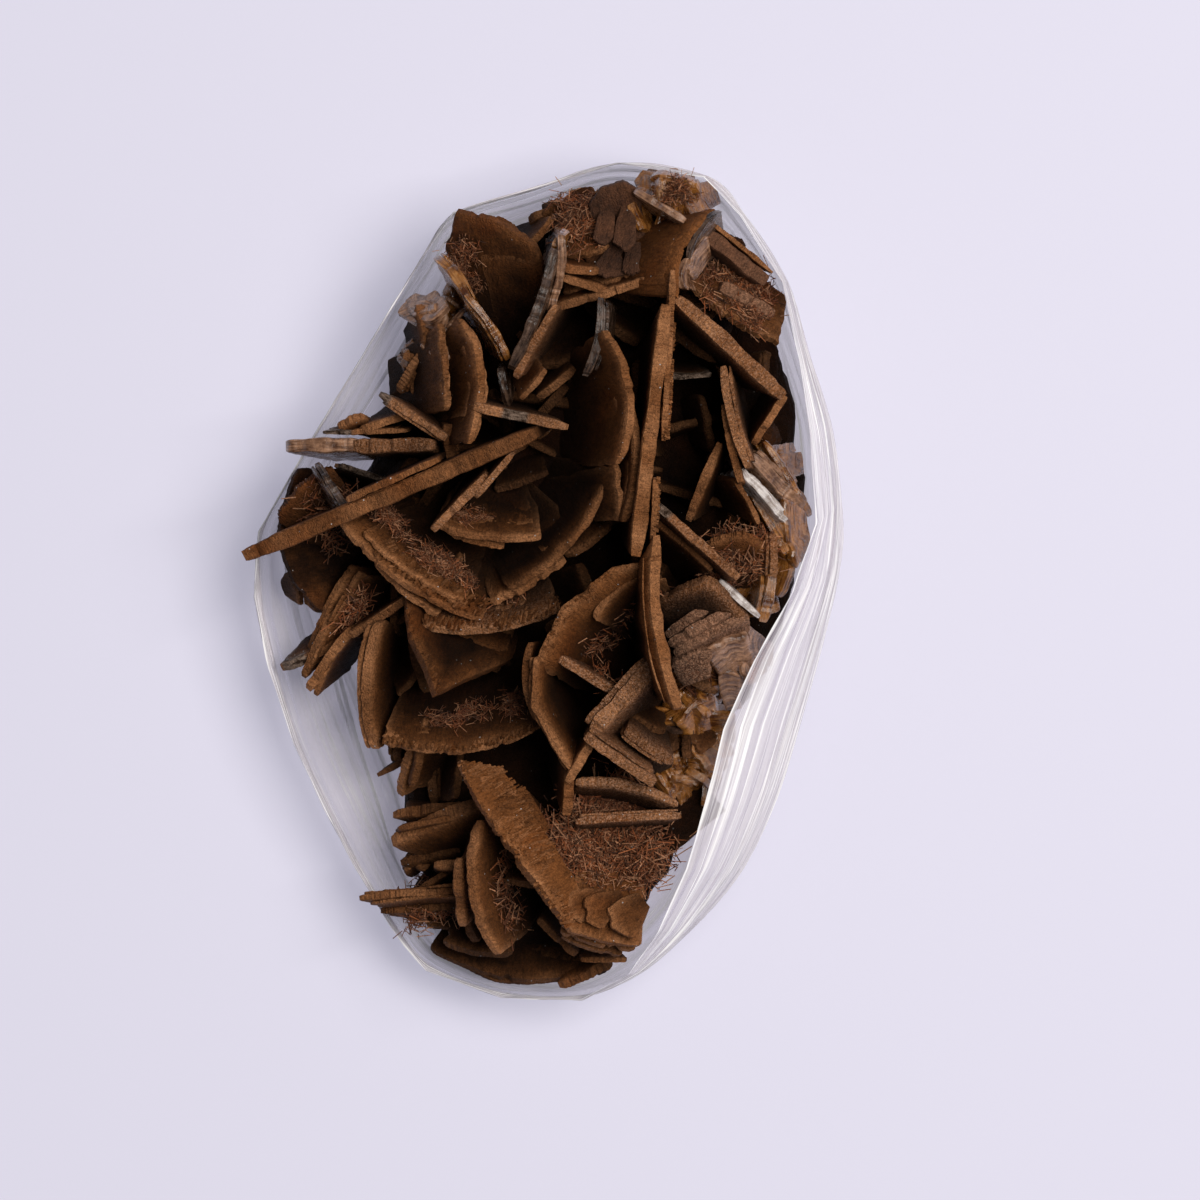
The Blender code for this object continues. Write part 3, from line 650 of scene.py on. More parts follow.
def make_blade(blade, seed):
    """A crystal's plies: a main one, a thinner one beside it, and now and then a ledge on its face."""
    pick = np.random.default_rng(seed)
    blade.draw_crest(pick)
    shares = PLY_SHARES[blade.plies]
    if pick.random() < 0.5:
        shares = shares[::-1]
    main = int(np.argmax(shares))
    made = []
    low = -0.5
    for i, share in enumerate(shares):
        offset = (low + share / 2) * blade.thick
        low += share
        drop = 0.0 if i == main else pick.uniform(0.2, 0.8 if blade.square else 2.4)
        inset = (0, 0) if i == main else (pick.uniform(0, 0.3) ** 1.5, pick.uniform(0, 0.3) ** 1.5)
        made.append(make_ply(blade, pick, blade.crest, share * OVERLAP, offset, drop, inset, i == main))
    for rows in blade.combs:
        made += make_comb(blade, pick, *rows)
    for ledge in range(blade.ledges if blade.length > LEDGE_OVER and blade.kind == "coat" else 0):
        share = pick.uniform(0.14, 0.24) / blade.thick
        offset = blade.up_side * ((0.42 if blade.square else 0.49) * blade.thick + 0.12 * ledge)
        inset = (pick.uniform(0, 0.6), pick.uniform(0, 0.35))
        lower = np.column_stack([[0, *np.sort(pick.uniform(0.15, 0.85, 2)), 1],
                                 0.4 * blade.crest[:, 1].mean() + pick.uniform(-1.5, 1.0, 4)])
        drop = blade.bevel * 0.8 + pick.uniform(0.3, 1.8)
        if blade.square:
            lower, drop = blade.crest, pick.uniform(-0.35, 0.6)
        made.append(make_ply(blade, pick, lower, share, offset, drop, inset, False))
    return made


print("shares of the plies:", PLY_SHARES)


def plan(region, *blades):
    """Keeps the crystals of a region until they are made."""
    REGIONS[region] = blades
    print(region, "has", len(blades), "crystals, the longest", round(max(b.length for b in blades), 1), "mm")


# %% [markdown]
# ## The crystals, region by region
# Each line below is one crystal: the two ends of its upper edge in millimetres, then how far the
# edge bows, the lean from upright (it falls to the left of start-to-end where positive), the
# depth down the blade, its thickness and where its keel lies, from -1 at the start to 1 at the
# end. The looks follow by name. A rosette can't be repeated by a rule: each blade grew where it
# had room, so each is listed one by one, and they follow the solids of the imported model.

# %% Upper left
# A broad brown fan at the back, glassy bars in front of it, and thin blades down the left
plan(
    "upper_left",
    Blade((-13.2, 45.6, 20.5), (-0.2, 43.6, 26), 0, -48, 18, 1.8, 0.1, tone=0, edge=0.5, fade=22, bevel=0.7,
          knees=[(0.18, 6), (0.55, 5.6), (0.95, 2.4)], mats=[(0.1, 0.3, 0.16, 0.5, 14, 0.7)]),
    Blade((-14.6, 44.2, 25), (-9.6, 37.2, 28), 0.3, -3, 18, 1.7, 0.3, kind="honey", curl=-0.5),
    Blade((-10.6, 38.4, 28.6), (-5, 29.8, 27), 0.4, -4, 19, 1.5, kind="honey", curl=-0.5),
    Blade((-5.9, 28.6, 25), (-4.9, 23.6, 23.5), 0.2, 6, 14, 1.2, kind="grey"),
    Blade((1.2, 44.4, 31), (-4.6, 28.6, 28), 0.5, 6, 20, 1.4, kind="grey", ragged=0.25, curl=-0.8),
    Blade((2.3, 46.4, 30), (0.7, 36.2, 27), 0.5, -6, 19, 1.2, kind="milky", curl=-0.6),
    Blade((1.5, 37.2, 29), (-4, 27.4, 27), 0.2, 8, 19, 1, tone=0.6, dust=0.45),
    Blade((-11, 35.4, 29), (-9.7, 18.6, 30.5), 0, -20, 20, 1.7, 0.2, tone=0.6, fade=13, ledges=2, bevel=0.8,
          knees=[(0.3, 0.8), (0.6, 0.6)], bend=[(0.2, -1.6), (0.55, -2.2)]),
    Blade((-13.8, 34.6, 25), (-12.8, 23, 26), 0.3, -26, 17, 1.4, 0.2, tone=0.3, dust=0.1, plies=2,
          ragged=0.4),
    Blade((-12.6, 21.2, 24), (-12.3, 15.8, 23), 0.3, -8, 15, 2, tone=0.3),
    Blade((-16.6, 37, 21), (-15.2, 31, 21), 0.8, -10, 13, 2.2, tone=0.3, ragged=0.7),
    Blade((-15.6, 32.2, 20), (-20, 25.4, 17), 0.4, 20, 13, 1.5, -0.3, tone=0.3, ragged=0.6),
    Blade((-13.8, 31, 18), (-18.4, 25.6, 16), 0.4, 30, 11, 1.3, -0.3, tone=0.3, ragged=0.6),
    Blade((-22.4, 25.2, 24), (-13.4, 19.2, 26), 0.2, 6, 17, 1.5, 0.4, dust=0.45, bare=[(-0.1, 0.2)]),
    Blade((-28, 21.3, 20), (-24.9, 22.6, 21), 0.6, -15, 13, 1.8, 0.5, ragged=0.5),
    Blade((-25.2, 20.5, 21), (-18.6, 22.5, 22), 0.3, 8, 14, 1.1, 0.4),
    Blade((-2.4, 49.2, 19), (1.4, 50.2, 20), 0.3, -20, 13, 1.3, tone=0.3),
    Blade((-6.6, 49.4, 20), (-3.2, 47.2, 21), 0.2, -30, 12, 1, tone=0.3),
    Blade((-1.2, 46, 24), (1.2, 49.2, 23), 0.2, 15, 17, 1),
    Blade((1.5, 45.4, 29), (3.2, 47.6, 27), 0.2, -10, 18, 1.2, kind="honey"),
)

# %% Left
# The long bar from the left edge to the middle, the combed plate below it, and a dark fan behind
plan(
    "left",
    Blade((-35.2, 18.3, 22), (-25, 18.6, 23.6), 0.3, -4, 14, 1.9, 0.8, kind="milky", plies=1, corner=0.8,
          ragged=0.2),
    Blade((-26, 18.4, 23.2), (-14.8, 18.5, 25), 0.3, -4, 15, 1.9, 0.8, tone=0.3, edge=0.7, dust=0.45,
          plies=1, ragged=0.16),
    Blade((-30.2, 20.2, 20), (-18.5, 20.4, 22), 0.2, 8, 15, 0.7, 0.5, tone=0.3, bare=[(-0.1, 0.4)]),
    Blade((-28.6, 16.2, 19), (-19.6, 13, 21), 0.2, -10, 12, 0.8, 0.4, bare=[(0, 0.8)]),
    Blade((-30.9, 16.2, 24), (-26.2, 9, 27), 0.3, -10, 14, 1.5, 0.3, kind="grey"),
    Blade((-40.6, 3.4, 25), (-1.2, 19.8, 34), 0.5, 3, 26, 2.3, 0.45, tone=0.35, edge=0.6, plies=1, ledges=2,
          corner=0.2),
    Blade((-26.6, 10.9, 31), (-14.2, 16.3, 33), 0.2, 3, 22, 0.9, 0.3, tone=0.6),
    Blade((-15, 6.8, 29), (-7.6, 14.3, 31), 0.2, 6, 20, 1.2, dust=0.45),
    Blade((-9.3, 11.4, 30), (-3.8, 17.5, 32), 0.2, 6, 20, 0.9, dust=0.45),
    Blade((-33.8, 15.4, 17), (-30.2, -4.8, 16), 4.6, 56, 15, 1.3, tone=-0.2, edge=0.25, dark=0.3, fade=24,
          ledges=0),
    Blade((-36.6, 8.6, 21), (-29.6, 15.8, 22), 1.2, -58, 13, 1.2, 0.2, tone=0.3, edge=0.25, fade=14,
          ragged=0.5, mats=[(0.1, 0.9, 0.15, 0.8, 12)]),
    Blade((-27.6, 8.6, 27), (-8.4, -4.9, 27), 0.8, 34, 18, 2.2, 0.2, tone=0.95, fade=7.5, ledges=0,
          bevel=2.2, curl=1.6, combs=[(0.25, 1, 0.02, 0.16, 170, 1.5)],
          mats=[(0.08, 0.85, 0.2, 0.42, 42, 0.7)]),
    Blade((-26.2, 7, 25.5), (-14.6, -4.8, 25.4), 0.4, 34, 15, 0.9, 0.2, tone=0.7, curl=0.8),
    Blade((-26.1, 2.2, 19), (-32, -9.4, 15), 0.4, 36, 13, 2, -0.4, tone=0.4, bevel=1.6,
          mats=[(0.2, 0.8, 0.1, 0.5, 8)]),
    Blade((-28.2, -3, 17), (-33, -12.8, 15), 0.3, 24, 8, 1.1, -0.7, tone=0.4),
    Blade((-26.6, -7.4, 18), (-17.8, -1.8, 22), 0.3, 6, 13, 1.2, 0.5),
    Blade((-36, -12, 14), (-28, -8.4, 16), 0.2, 20, 6, 1.3, 0.7, bare=[(0, 0.5)]),
    Blade((-32.4, -14.6, 16), (-26.4, -6.2, 18), 0.3, -14, 10, 1.2, 0.8),
    Blade((-31.4, -15.4, 15.6), (-28.4, -9.2, 17.4), 0.2, -14, 9, 0.8, 0.8),
    Blade((-26.6, -6.8, 16), (-18.8, -6.2, 15), 0.3, 10, 9, 1.5, 0.5, dark=0.4),
)

# %% Lower left
# Combed plates near the middle, and shelves that overlap down to the lower edge
plan(
    "lower_left",
    Blade((-16.4, -6.2, 26), (2.2, -3.8, 27), 1.2, 32, 17, 1.3, tone=0.45, dust=0.45, fade=8, curl=1,
          combs=[(0, 1, 0, 0.14, 150, 1.3)], mats=[(0.3, 0.9, 0.25, 0.6, 8)]),
    Blade((-19, -2.6, 23), (-4.4, -10.8, 21), 0, 40, 15, 1.6, tone=0.35, edge=0.5, fade=7, plies=1,
          bevel=0.8, knees=[(0.16, 6), (0.36, 9.6), (0.52, 13.5), (0.72, 7.5)],
          combs=[(0, 0.55, 0, 0.05, 60, 0.8)]),
    Blade((-22.8, -5, 22), (-23.2, -22.6, 21), 1, 17, 18, 2.4, fade=9, bevel=1, curl=1.2),
    Blade((-21, -19.6, 17), (-20.2, -24.8, 15), 0.3, 22, 10, 2, -0.4, tone=0.3),
    Blade((-21.9, -21.8, 23), (-0.2, -19.6, 25), 2, 38, 19, 1.6, 0.2, tone=0.65, fade=9, bevel=1.2, curl=1.2,
          combs=[(0, 1, 0, 0.04, 120, 0.8)], mats=[(0.25, 0.95, 0.22, 0.42, 26, 0.7)]),
    Blade((-18.2, -22.6, 20), (-20, -28.8, 17), 0.4, 36, 15, 1.3, -0.5, ragged=0.4),
    Blade((-15.2, -24.6, 15), (-15, -30.2, 14), 0.4, 12, 9, 1.6, dark=0.4),
    Blade((-20.6, -31.3, 17), (-10.6, -30.2, 19), 0.3, -22, 12, 1.4, 0.6, dark=0.2, ragged=0.35),
    Blade((-21, -35.1, 18), (-8.6, -29.4, 22), 0.5, -32, 16, 2.2, 0.6, tone=0.7, dark=0.05, plies=1, bevel=1,
          ragged=0.35),
    Blade((-19.6, -37.8, 14), (-12, -36, 15), 0.9, -20, 8, 2.2, 0.6, tone=0.4, dark=0.3, ragged=0.5),
    Blade((-17, -41.6, 17), (-10.6, -37.6, 18), 0.3, -12, 12, 0.9, 0.5, dark=0.3),
    Blade((-25.2, -42.8, 17), (-9.6, -41.4, 20), 0.3, -14, 13, 1.8, 0.7, dark=0.25, plies=3, ragged=0.4),
    Blade((-22.2, -44.6, 14), (-11, -43.6, 16), 0.3, -10, 10, 1.4, 0.7, dark=0.4, ragged=0.4),
    Blade((-20, -45.4, 12), (-11.6, -47.4, 12), 0.6, 58, 11, 1.6, 0.4, tone=0.2, dark=0.3,
          mats=[(0.1, 0.9, 0.1, 0.7, 8)]),
    Blade((-9, -32.2, 26), (-6.4, -50.2, 24), 2.2, 26, 19, 1.4, tone=0.6, fade=12, ledges=0, bevel=0.6,
          curl=1.4, mats=[(0.2, 0.9, 0.25, 0.5, 8)]),
    Blade((-11.6, -37.2, 24), (-11.2, -46.6, 22), 0.8, 20, 16, 1.4, tone=0.55),
    Blade((-11, -44.8, 19), (-9.6, -49.2, 17), 0.4, 20, 12, 1.6, dark=0.3),
)

# %% The big lower plate
# A thick plate with a combed rim over a wide mat of needles, and thin shelves below it
plan(
    "big_plate",
    Blade((-11.8, -24.2, 29), (3.2, -47, 28), 0.4, 66, 4.6, 2.4, tone=1.15, fade=30, plies=1, ledges=0,
          bevel=1.6, corner=0.2, ragged=0.32, bend=[(0.3, 0.4), (0.6, -0.3)],
          combs=[(0, 0.98, 0.02, 0.3, 240, 1.3), (0, 0.7, 0.2, 0.95, 300, 1.6)]),
    Blade((-11.2, -25, 29.4), (-5, -35.6, 29), 0, 66, 6.6, 1.4, 1, tone=1.05, edge=0.5, fade=16, ledges=0,
          ragged=0.3, knees=[(0.5, 0.3)], combs=[(0, 1, 0.3, 0.9, 150, 1.5)]),
    Blade((-3.4, -34.4, 24.4), (6, -46.4, 24), 0, 72, 25, 2, 0.4, tone=0.2, dark=0.85, fade=30, ledges=0,
          ragged=0.3, mats=[(0, 1, 0.08, 0.62, 110, 1.1), (-0.05, 0.35, 0.3, 0.72, 16, 1.1)]),
    Blade((2.4, -46.7, 28), (12.8, -49.2, 25.2), 0.3, 66, 20, 0.9, 0.2, tone=0.9, fade=60),
    Blade((2, -47.5, 25.2), (12, -50, 23.2), 0.3, 60, 20, 0.9, 0.2, tone=0.4),
    Blade((2.2, -48.2, 23.6), (10.2, -50.6, 21.8), 0.3, 60, 20, 0.8, 0.2, tone=0.2),
    Blade((-15.8, -50.4, 10), (8.4, -53.4, 11), 3, 56, 15, 2, 0.2, tone=0.2, edge=0.6, dark=0.1, fade=14),
    Blade((-14, -49.2, 15), (-4.4, -50.6, 16), 0.9, 40, 13, 1.4, 0.4, tone=0.1, dark=0.2),
    Blade((5, -51.1, 19), (11.2, -51.2, 18), 0.2, 10, 12, 0.8, tone=0.8),
    Blade((2, -54.8, 13), (9.2, -52, 14), 0.3, 24, 10, 1.4, 0.4, tone=0.8, ragged=0.4),
    Blade((-1, -45.6, 21), (4.2, -50.4, 20), 0.4, 14, 14, 1.1, dark=0.3),
    # Small shingles on its lower end
    Blade((2.8, -41.6, 28), (4.4, -46, 27.8), 1, 66, 5.5, 0.8, 0.2, tone=0.7, fade=9),
    Blade((5.2, -42.4, 28.4), (7.6, -46.8, 27.8), 1, 68, 5, 0.8, 0.2, tone=0.8, fade=9),
    Blade((8.2, -44, 28.2), (11.6, -48, 27.4), 0.9, 68, 5, 0.8, tone=0.9, fade=9),
)

# %% Centre
# The tall bar right of the middle, and the hollow blades that lean away from it to the left
plan(
    "centre",
    Blade((16.3, 37, 34), (12.3, 3.4, 36), 0.3, -5, 27, 1.9, tone=0.9, plies=1, corner=0.2, ragged=0.22),
    Blade((17.2, 41.4, 33), (16, 19, 33.8), 0.3, -3, 26, 0.9, tone=0.65, ragged=0.4,
          combs=[(0.3, 1, 0, 0.03, 130, 0.7, 1)]),
    Blade((14.9, 14, 35.4), (14.5, 5.2, 35.6), 0.2, -4, 24, 0.8, tone=0.75,
          combs=[(0, 1, 0, 0.03, 60, 0.7, 1)]),
    Blade((8.3, 33.6, 33), (10, 15.6, 34), 2.2, -20, 26, 1.4, tone=0.9, fade=21, bevel=0.8, curl=-1.8),
    Blade((11.4, 24.6, 32), (10.9, 8, 33), 0.8, -14, 24, 1.2, tone=0.6, curl=-1.1),
    Blade((9.8, 15.8, 31), (10.4, 8.2, 31), 0.4, -30, 24, 0.9, tone=0.4, fade=8),
    Blade((8.6, 13.8, 28), (-4.8, -1.2, 27), 1.6, -27, 22, 1.1, tone=0.1, dark=0.1, fade=4, bevel=0.6,
          curl=-1.4),
    Blade((5.2, 7.4, 26.6), (0, 1.6, 26), 0.3, -38, 17, 0.9, tone=0.6, fade=7),
    Blade((2.8, 2.8, 26), (-7.2, -3.2, 24.6), 0.8, -36, 16, 1.1, tone=0.6, fade=7),
    Blade((10.6, 8.6, 24), (2.6, 2.8, 23), 0.6, -36, 16, 1.1, tone=0.4, fade=7),
    Blade((-14.6, 7.4, 27), (-0.6, 5.8, 27), 0.8, 30, 17, 1.1, fade=8, curl=0.4,
          mats=[(0.1, 0.5, 0.1, 0.45, 10, 0.5)]),
    Blade((-12.4, 6.2, 25.6), (-5.4, 4.6, 25.6), 0.2, 28, 14, 0.9, fade=8),
    Blade((-6.8, 12.3, 19), (0.4, 14.7, 20), 0.3, 22, 12, 1, tone=0.2, dark=0.3),
    Blade((-9.4, 23.5, 31), (3.4, 20.7, 28), 0.2, 5, 20, 1.3, dust=0.45, bare=[(0.25, 0.6)]),
    Blade((-3.2, 24.4, 26), (0.3, 28.4, 27), 0.2, 24, 16, 0.9, dark=0.1),
    Blade((-1, 24.6, 23), (4, 28.7, 24), 0.2, 14, 13, 1.1, tone=0.2, dark=0.2),
    Blade((7.7, 38, 31), (5.7, 27.6, 30), 0.2, 4, 22, 1.7, kind="grey", curl=-0.9),
    Blade((-3, 28.9, 19), (7.2, 31, 20), 1.2, 40, 14, 1.4, tone=0.1, dark=0.35),
)

# %% Top
# Thin smooth slabs between glassy blades, beside one broad plate
plan(
    "top",
    Blade((0.4, 36.6, 25), (14.8, 40.7, 28), 0.5, 14, 18, 1.2, tone=0.4),
    Blade((2.6, 38.4, 23), (13.6, 42.4, 26), 0.8, 48, 16, 1, tone=0.1, dark=0.25, fade=16),
    Blade((23.2, 50, 28), (18, 38.2, 33), -1.2, -36, 21, 1.2, 0.2, tone=1.1, edge=0.3, fade=24, curl=1.6),
    Blade((23.5, 50, 28.4), (19.2, 43.6, 30.8), 0.2, 22, 7, 1, kind="grey", ragged=0.25, curl=0.8),
    Blade((21.6, 46.8, 28.6), (18.4, 42, 31), 0.3, 34, 3.5, 0.8, kind="milky", ragged=0.4),
    Blade((18.6, 42.6, 31.6), (18.8, 38.6, 31.2), 0.3, 12, 6, 1, kind="milky", ragged=0.7, curl=0.5),
    Blade((2.3, 42.1, 29), (7.4, 41.6, 28), 0.2, 10, 18, 1.2),
    Blade((2.6, 40.8, 28), (9, 38.8, 27), 0.2, 8, 18, 1.2, tone=0.3),
    Blade((5.6, 41.4, 25.4), (13, 42.2, 25.4), 0.8, 64, 12, 1, tone=-0.3, edge=0.1, dark=0.3, fade=30,
          mats=[(0, 0.25, 0.2, 0.9, 6)]),
    Blade((1.6, 44, 24), (8.8, 44.8, 25), 0.8, 58, 10, 1.2, tone=0.2, fade=30,
          mats=[(0.1, 0.9, 0.1, 0.8, 8)]),
    Blade((10.8, 54, 23.4), (12.8, 47.6, 25.6), 0.5, 16, 14, 1.2, kind="honey"),
    Blade((5.8, 51.6, 24.4), (13, 52.8, 25), 0, -68, 12.5, 1.1, 0.1, kind="thin", tone=0.15, edge=0.2,
          fade=40, knees=[(0.3, 1.4), (0.7, 1.6)]),
    Blade((12, 52.8, 27), (18.8, 48.5, 29), 0.4, -5, 15, 1, kind="milky"),
    Blade((15, 55, 23), (21.4, 53.2, 23), 0.8, -50, 8, 1.3, kind="honey", fade=30, corner=1.4, ragged=0.8),
    Blade((12.4, 46, 21), (17, 45, 22), 0.4, 30, 14, 1.2, tone=0.1, dark=0.3),
    Blade((6.6, 45.9, 26.2), (9.3, 45.7, 26.4), 0.9, 64, 6.6, 0.6, kind="thin", tone=0.2, edge=0.2, fade=60,
          corner=0.3),
    Blade((9.2, 45.2, 27), (12.2, 45, 27.2), 1, 64, 7.4, 0.6, kind="thin", tone=0.3, edge=0.2, fade=60,
          corner=0.3),
    Blade((6.6, 41.4, 26.2), (10.4, 40.8, 26.4), 0.7, 64, 6, 0.6, 0.3, kind="thin", tone=0.1, edge=0.2,
          fade=60, corner=0.2, ragged=0.4),
    Blade((10.2, 41.8, 26.6), (12.6, 41.6, 26.8), 0.5, 64, 4.4, 0.6, kind="thin", tone=0.2, edge=0.2,
          fade=60, corner=0.2, ragged=0.6),
)

# %% Upper right
# Long bars that slant down to the right edge, where the baryte is bare and glassy
plan(
    "upper_right",
    Blade((22, 46.6, 27.6), (30, 40.4, 25.6), 0.2, -12, 12, 2, -0.4, kind="thin", tone=0.7, edge=0.5,
          plies=1, bevel=0.5, corner=0.2),
    Blade((23, 47.8, 27.8), (30.9, 41.5, 25.8), 0.2, -4, 12, 0.6, -0.4, tone=1, ragged=0.3),
    Blade((23.9, 39.8, 26.6), (31, 36.1, 24), 0.2, -12, 12, 1.8, -0.4, kind="thin", tone=1, edge=0.8,
          dust=0.4, plies=1, bevel=0.4, corner=0.2),
    Blade((19.8, 43.4, 22), (25.4, 40, 21), 0.5, 24, 11, 1.6, -0.2, kind="grey"),
    Blade((18, 37.8, 33), (32.2, 24.8, 30), 0.2, -8, 18, 2.1, -0.3, tone=1, dust=0.5, plies=1, bevel=0.8,
          ragged=0.3),
    Blade((19.2, 39.6, 27), (31.2, 31.6, 25), 0.4, 52, 8, 1.2, tone=0.3, fade=30, ragged=0.4,
          mats=[(0.05, 0.72, 0.05, 0.75, 30, 0.8)]),
    Blade((32.3, 24.8, 29), (28, 18.4, 28), 0.2, -8, 18, 1, 0.3),
    Blade((30.4, 31.4, 19), (28.6, 26, 20), 0.5, -30, 12, 1.6, tone=0.2, dark=0.4),
    Blade((29.4, 18.9, 25), (36, 8.4, 20), 1, -8, 14, 1.6, -0.2, kind="honey", tone=0.4, ragged=0.5),
    Blade((28.2, 17.2, 26.4), (35.6, 9.6, 21.6), 0.4, -16, 13, 2.6, -0.2, kind="milky", ragged=0.2),
    Blade((28.3, 12.2, 25.6), (33.4, 3.4, 23.2), 0.4, -12, 12, 1.9, kind="honey"),
    Blade((31.9, 11, 24.2), (33.4, 2, 22.2), 0.8, 46, 3.6, 1.3, kind="honey", ragged=0.3),
    Blade((34, 4, 21.6), (32.2, -2.2, 21.4), 0.6, -34, 8, 1.8, kind="honey"),
    Blade((26.6, 15.2, 29), (32.8, 8.3, 27), 0.2, -14, 20, 1.6, -0.2, kind="white", corner=0.2, ragged=0.2),
    Blade((24.1, 29, 30), (27.4, 15.4, 32), 0.3, 5, 22, 1.6, dust=0.45, curl=0.5),
    Blade((23.9, 24, 29), (26.1, 13.4, 31), 0.2, 7, 21, 1),
    Blade((25.7, 13.8, 29), (28.9, 7.8, 27), 0.4, -14, 19, 0.8),
    Blade((23.4, 18.6, 28), (19.2, 8.2, 27), 0.2, 8, 18, 1.2),
    Blade((16.4, 27.4, 27), (22.8, 27.9, 26), 0.2, 10, 17, 0.8, bare=[(-0.1, 1.1)]),
    Blade((21.2, 25.4, 22), (22.8, 17.6, 21), 0.6, -16, 13, 1.1, tone=0.2, dark=0.3),
    Blade((17, 33.6, 22), (23.4, 29.6, 22), 0.4, 30, 12, 1.2, tone=0.1, dark=0.4),
    Blade((14.8, 10.5, 33), (26, 0.5, 32), 0.2, -8, 22, 1.3, dust=0.45, bare=[(-0.1, 0.22)]),
    Blade((14.4, 8.6, 30), (22.6, 1.6, 29), 0.2, -14, 19, 0.9, dark=0.3),
)

# %% Right
# The tallest blade, the smooth dusty bars beside it, and the ledges below them
plan(
    "right",
    Blade((21.8, 5.6, 28), (30.8, 5.4, 27), 1.9, -40, 15, 1.6, tone=0.6, fade=20, ragged=0.5,
          mats=[(0.1, 0.9, 0.15, 0.5, 12)]),
    Blade((30.6, 6.4, 28), (30.6, 0.4, 27.6), 0.4, -12, 17, 1.6, dust=0.5, ragged=0.3),
    Blade((30.4, 1.2, 27.4), (29.2, -5.4, 26.6), 0.4, -12, 15, 2, kind="honey", ragged=0.3),
    Blade((23.4, 0.2, 29.4), (28.8, -4.7, 28.4), 0.3, 2, 8, 1, kind="white", ragged=0.25),
    Blade((15.6, -1.8, 27.4), (27.4, -4.6, 27.4), 0, -44, 7, 1.9, tone=0.45, dust=0.5, fade=3.5, plies=1,
          ledges=0, bevel=0.7, ragged=0.3, knees=[(0.43, 5.2), (0.56, 4.8)]),
    Blade((16.3, -7.2, 28), (22.4, -2.9, 28.2), 0.4, -16, 8, 1.3, 0.1, kind="thin", tone=0.7, dust=0.7,
          fade=20, ragged=0.3),
    Blade((16.7, -8.4, 28.5), (25.4, -3.3, 28.6), 0.4, -20, 8, 1.4, 0.1, kind="thin", tone=0.8, dust=0.7,
          fade=20, ragged=0.3),
    Blade((17.1, -9.6, 28.1), (27.2, -4.6, 28.2), 0.4, -24, 8, 1.3, 0.1, kind="thin", tone=0.7, dust=0.7,
          fade=20, ragged=0.3),
    Blade((16.9, -10.4, 27.4), (22.2, -8.8, 27.2), 0.5, -60, 4, 1.8, kind="thin", tone=0.9, dust=0.9,
          fade=30, plies=1, ragged=0.45),
    Blade((20.6, -9.4, 26.8), (27, -6.2, 26.8), 0.6, -52, 8, 1.8, 0.2, kind="milky", plies=1, ragged=0.4),
    Blade((14.7, 6.2, 37), (17.7, -17.2, 37), 0.5, -6, 28, 2.6, tone=1.3, plies=1, bevel=2.6, under=1.2,
          curl=1.6),
    Blade((14.4, 2.8, 32.5), (-1.3, -11.2, 31.5), 0, 27, 24, 2.6, tone=1.05, fade=9, ledges=2, bevel=2.4,
          ragged=0.3, knees=[(0.22, 1.6), (0.62, 1.8)], bend=[(0.22, 1.9), (0.62, 2.6)],
          combs=[(0, 0.9, 0, 0.05, 240, 0.8)], mats=[(0.1, 0.7, 0.32, 0.5, 9)]),
    Blade((13, 1.2, 31.6), (6.6, -4.6, 31.4), 0.3, 26, 14, 1, tone=0.8, fade=6, curl=0.6),
    Blade((-1.3, -10.2, 33), (3.4, -25.4, 31), 0, 12, 25, 1.9, tone=0.85, fade=7, bevel=1.2,
          knees=[(0.4, 0.4)], bend=[(0.38, 2)]),
    Blade((-1.9, -8.2, 30), (-1.2, -18.4, 29), 0.5, 10, 20, 1, dark=0.1, curl=0.8),
    Blade((1.9, -10.1, 30), (9.6, -14.9, 29), 0.2, 5, 20, 1.3, tone=0.6, dust=0.75),
    Blade((15.4, -9.6, 31), (6.2, -19.6, 32), 0.4, 13, 22, 3.3, tone=0.35, dust=0.75, fade=14, bevel=1.4,
          ragged=0.3),
    Blade((5.6, -20.4, 33.5), (15, -26.8, 32), 0.3, 10, 20, 2, tone=0.45, dust=0.6, bevel=0.6),
    Blade((10.6, -20.2, 31), (17, -24.4, 29.6), 0.3, 14, 14, 1.9, dust=0.6, bevel=0.8, ragged=0.35),
    Blade((11.4, -18.2, 26), (16.6, -20.4, 25), 0.3, 20, 12, 1, tone=0.3, ragged=0.4),
    Blade((6.4, -21.4, 31), (3.2, -26.8, 31), 0.2, -8, 21, 1.3),
    Blade((3.4, -26, 30), (3, -31.6, 28), 0.3, -8, 19, 1.4),
    Blade((4.2, -26.7, 29), (18, -29.8, 27), 1, -12, 19, 1.4, tone=0.4, dust=0.75, curl=-0.8),
    Blade((4.2, -31.8, 29), (18.4, -31, 27), 0.5, -8, 18, 1.5, tone=0.45, dust=0.75),
    Blade((18.6, -12.2, 25), (24, -15.2, 22), 0.6, 30, 15, 1.8, tone=0.1, dust=0.3, dark=0.1, ragged=0.5),
    Blade((17.2, -18.4, 22), (22.6, -14.4, 20), 0.8, -44, 13, 2.2, kind="honey"),
    Blade((17.6, -24.2, 19), (20, -30.4, 17), 0.8, -24, 11, 2.2, kind="honey", ragged=0.5),
)

# %% [markdown]
# ## Between the blades
# The gaps of the real specimen are not empty. Short crystals stand low in them, and broken glassy
# shards lie at the right and at the upper left. They are scattered at random within patches,
# because only their mass and their glints are seen. The random numbers start from a fixed seed,
# so that the model comes out the same each time.

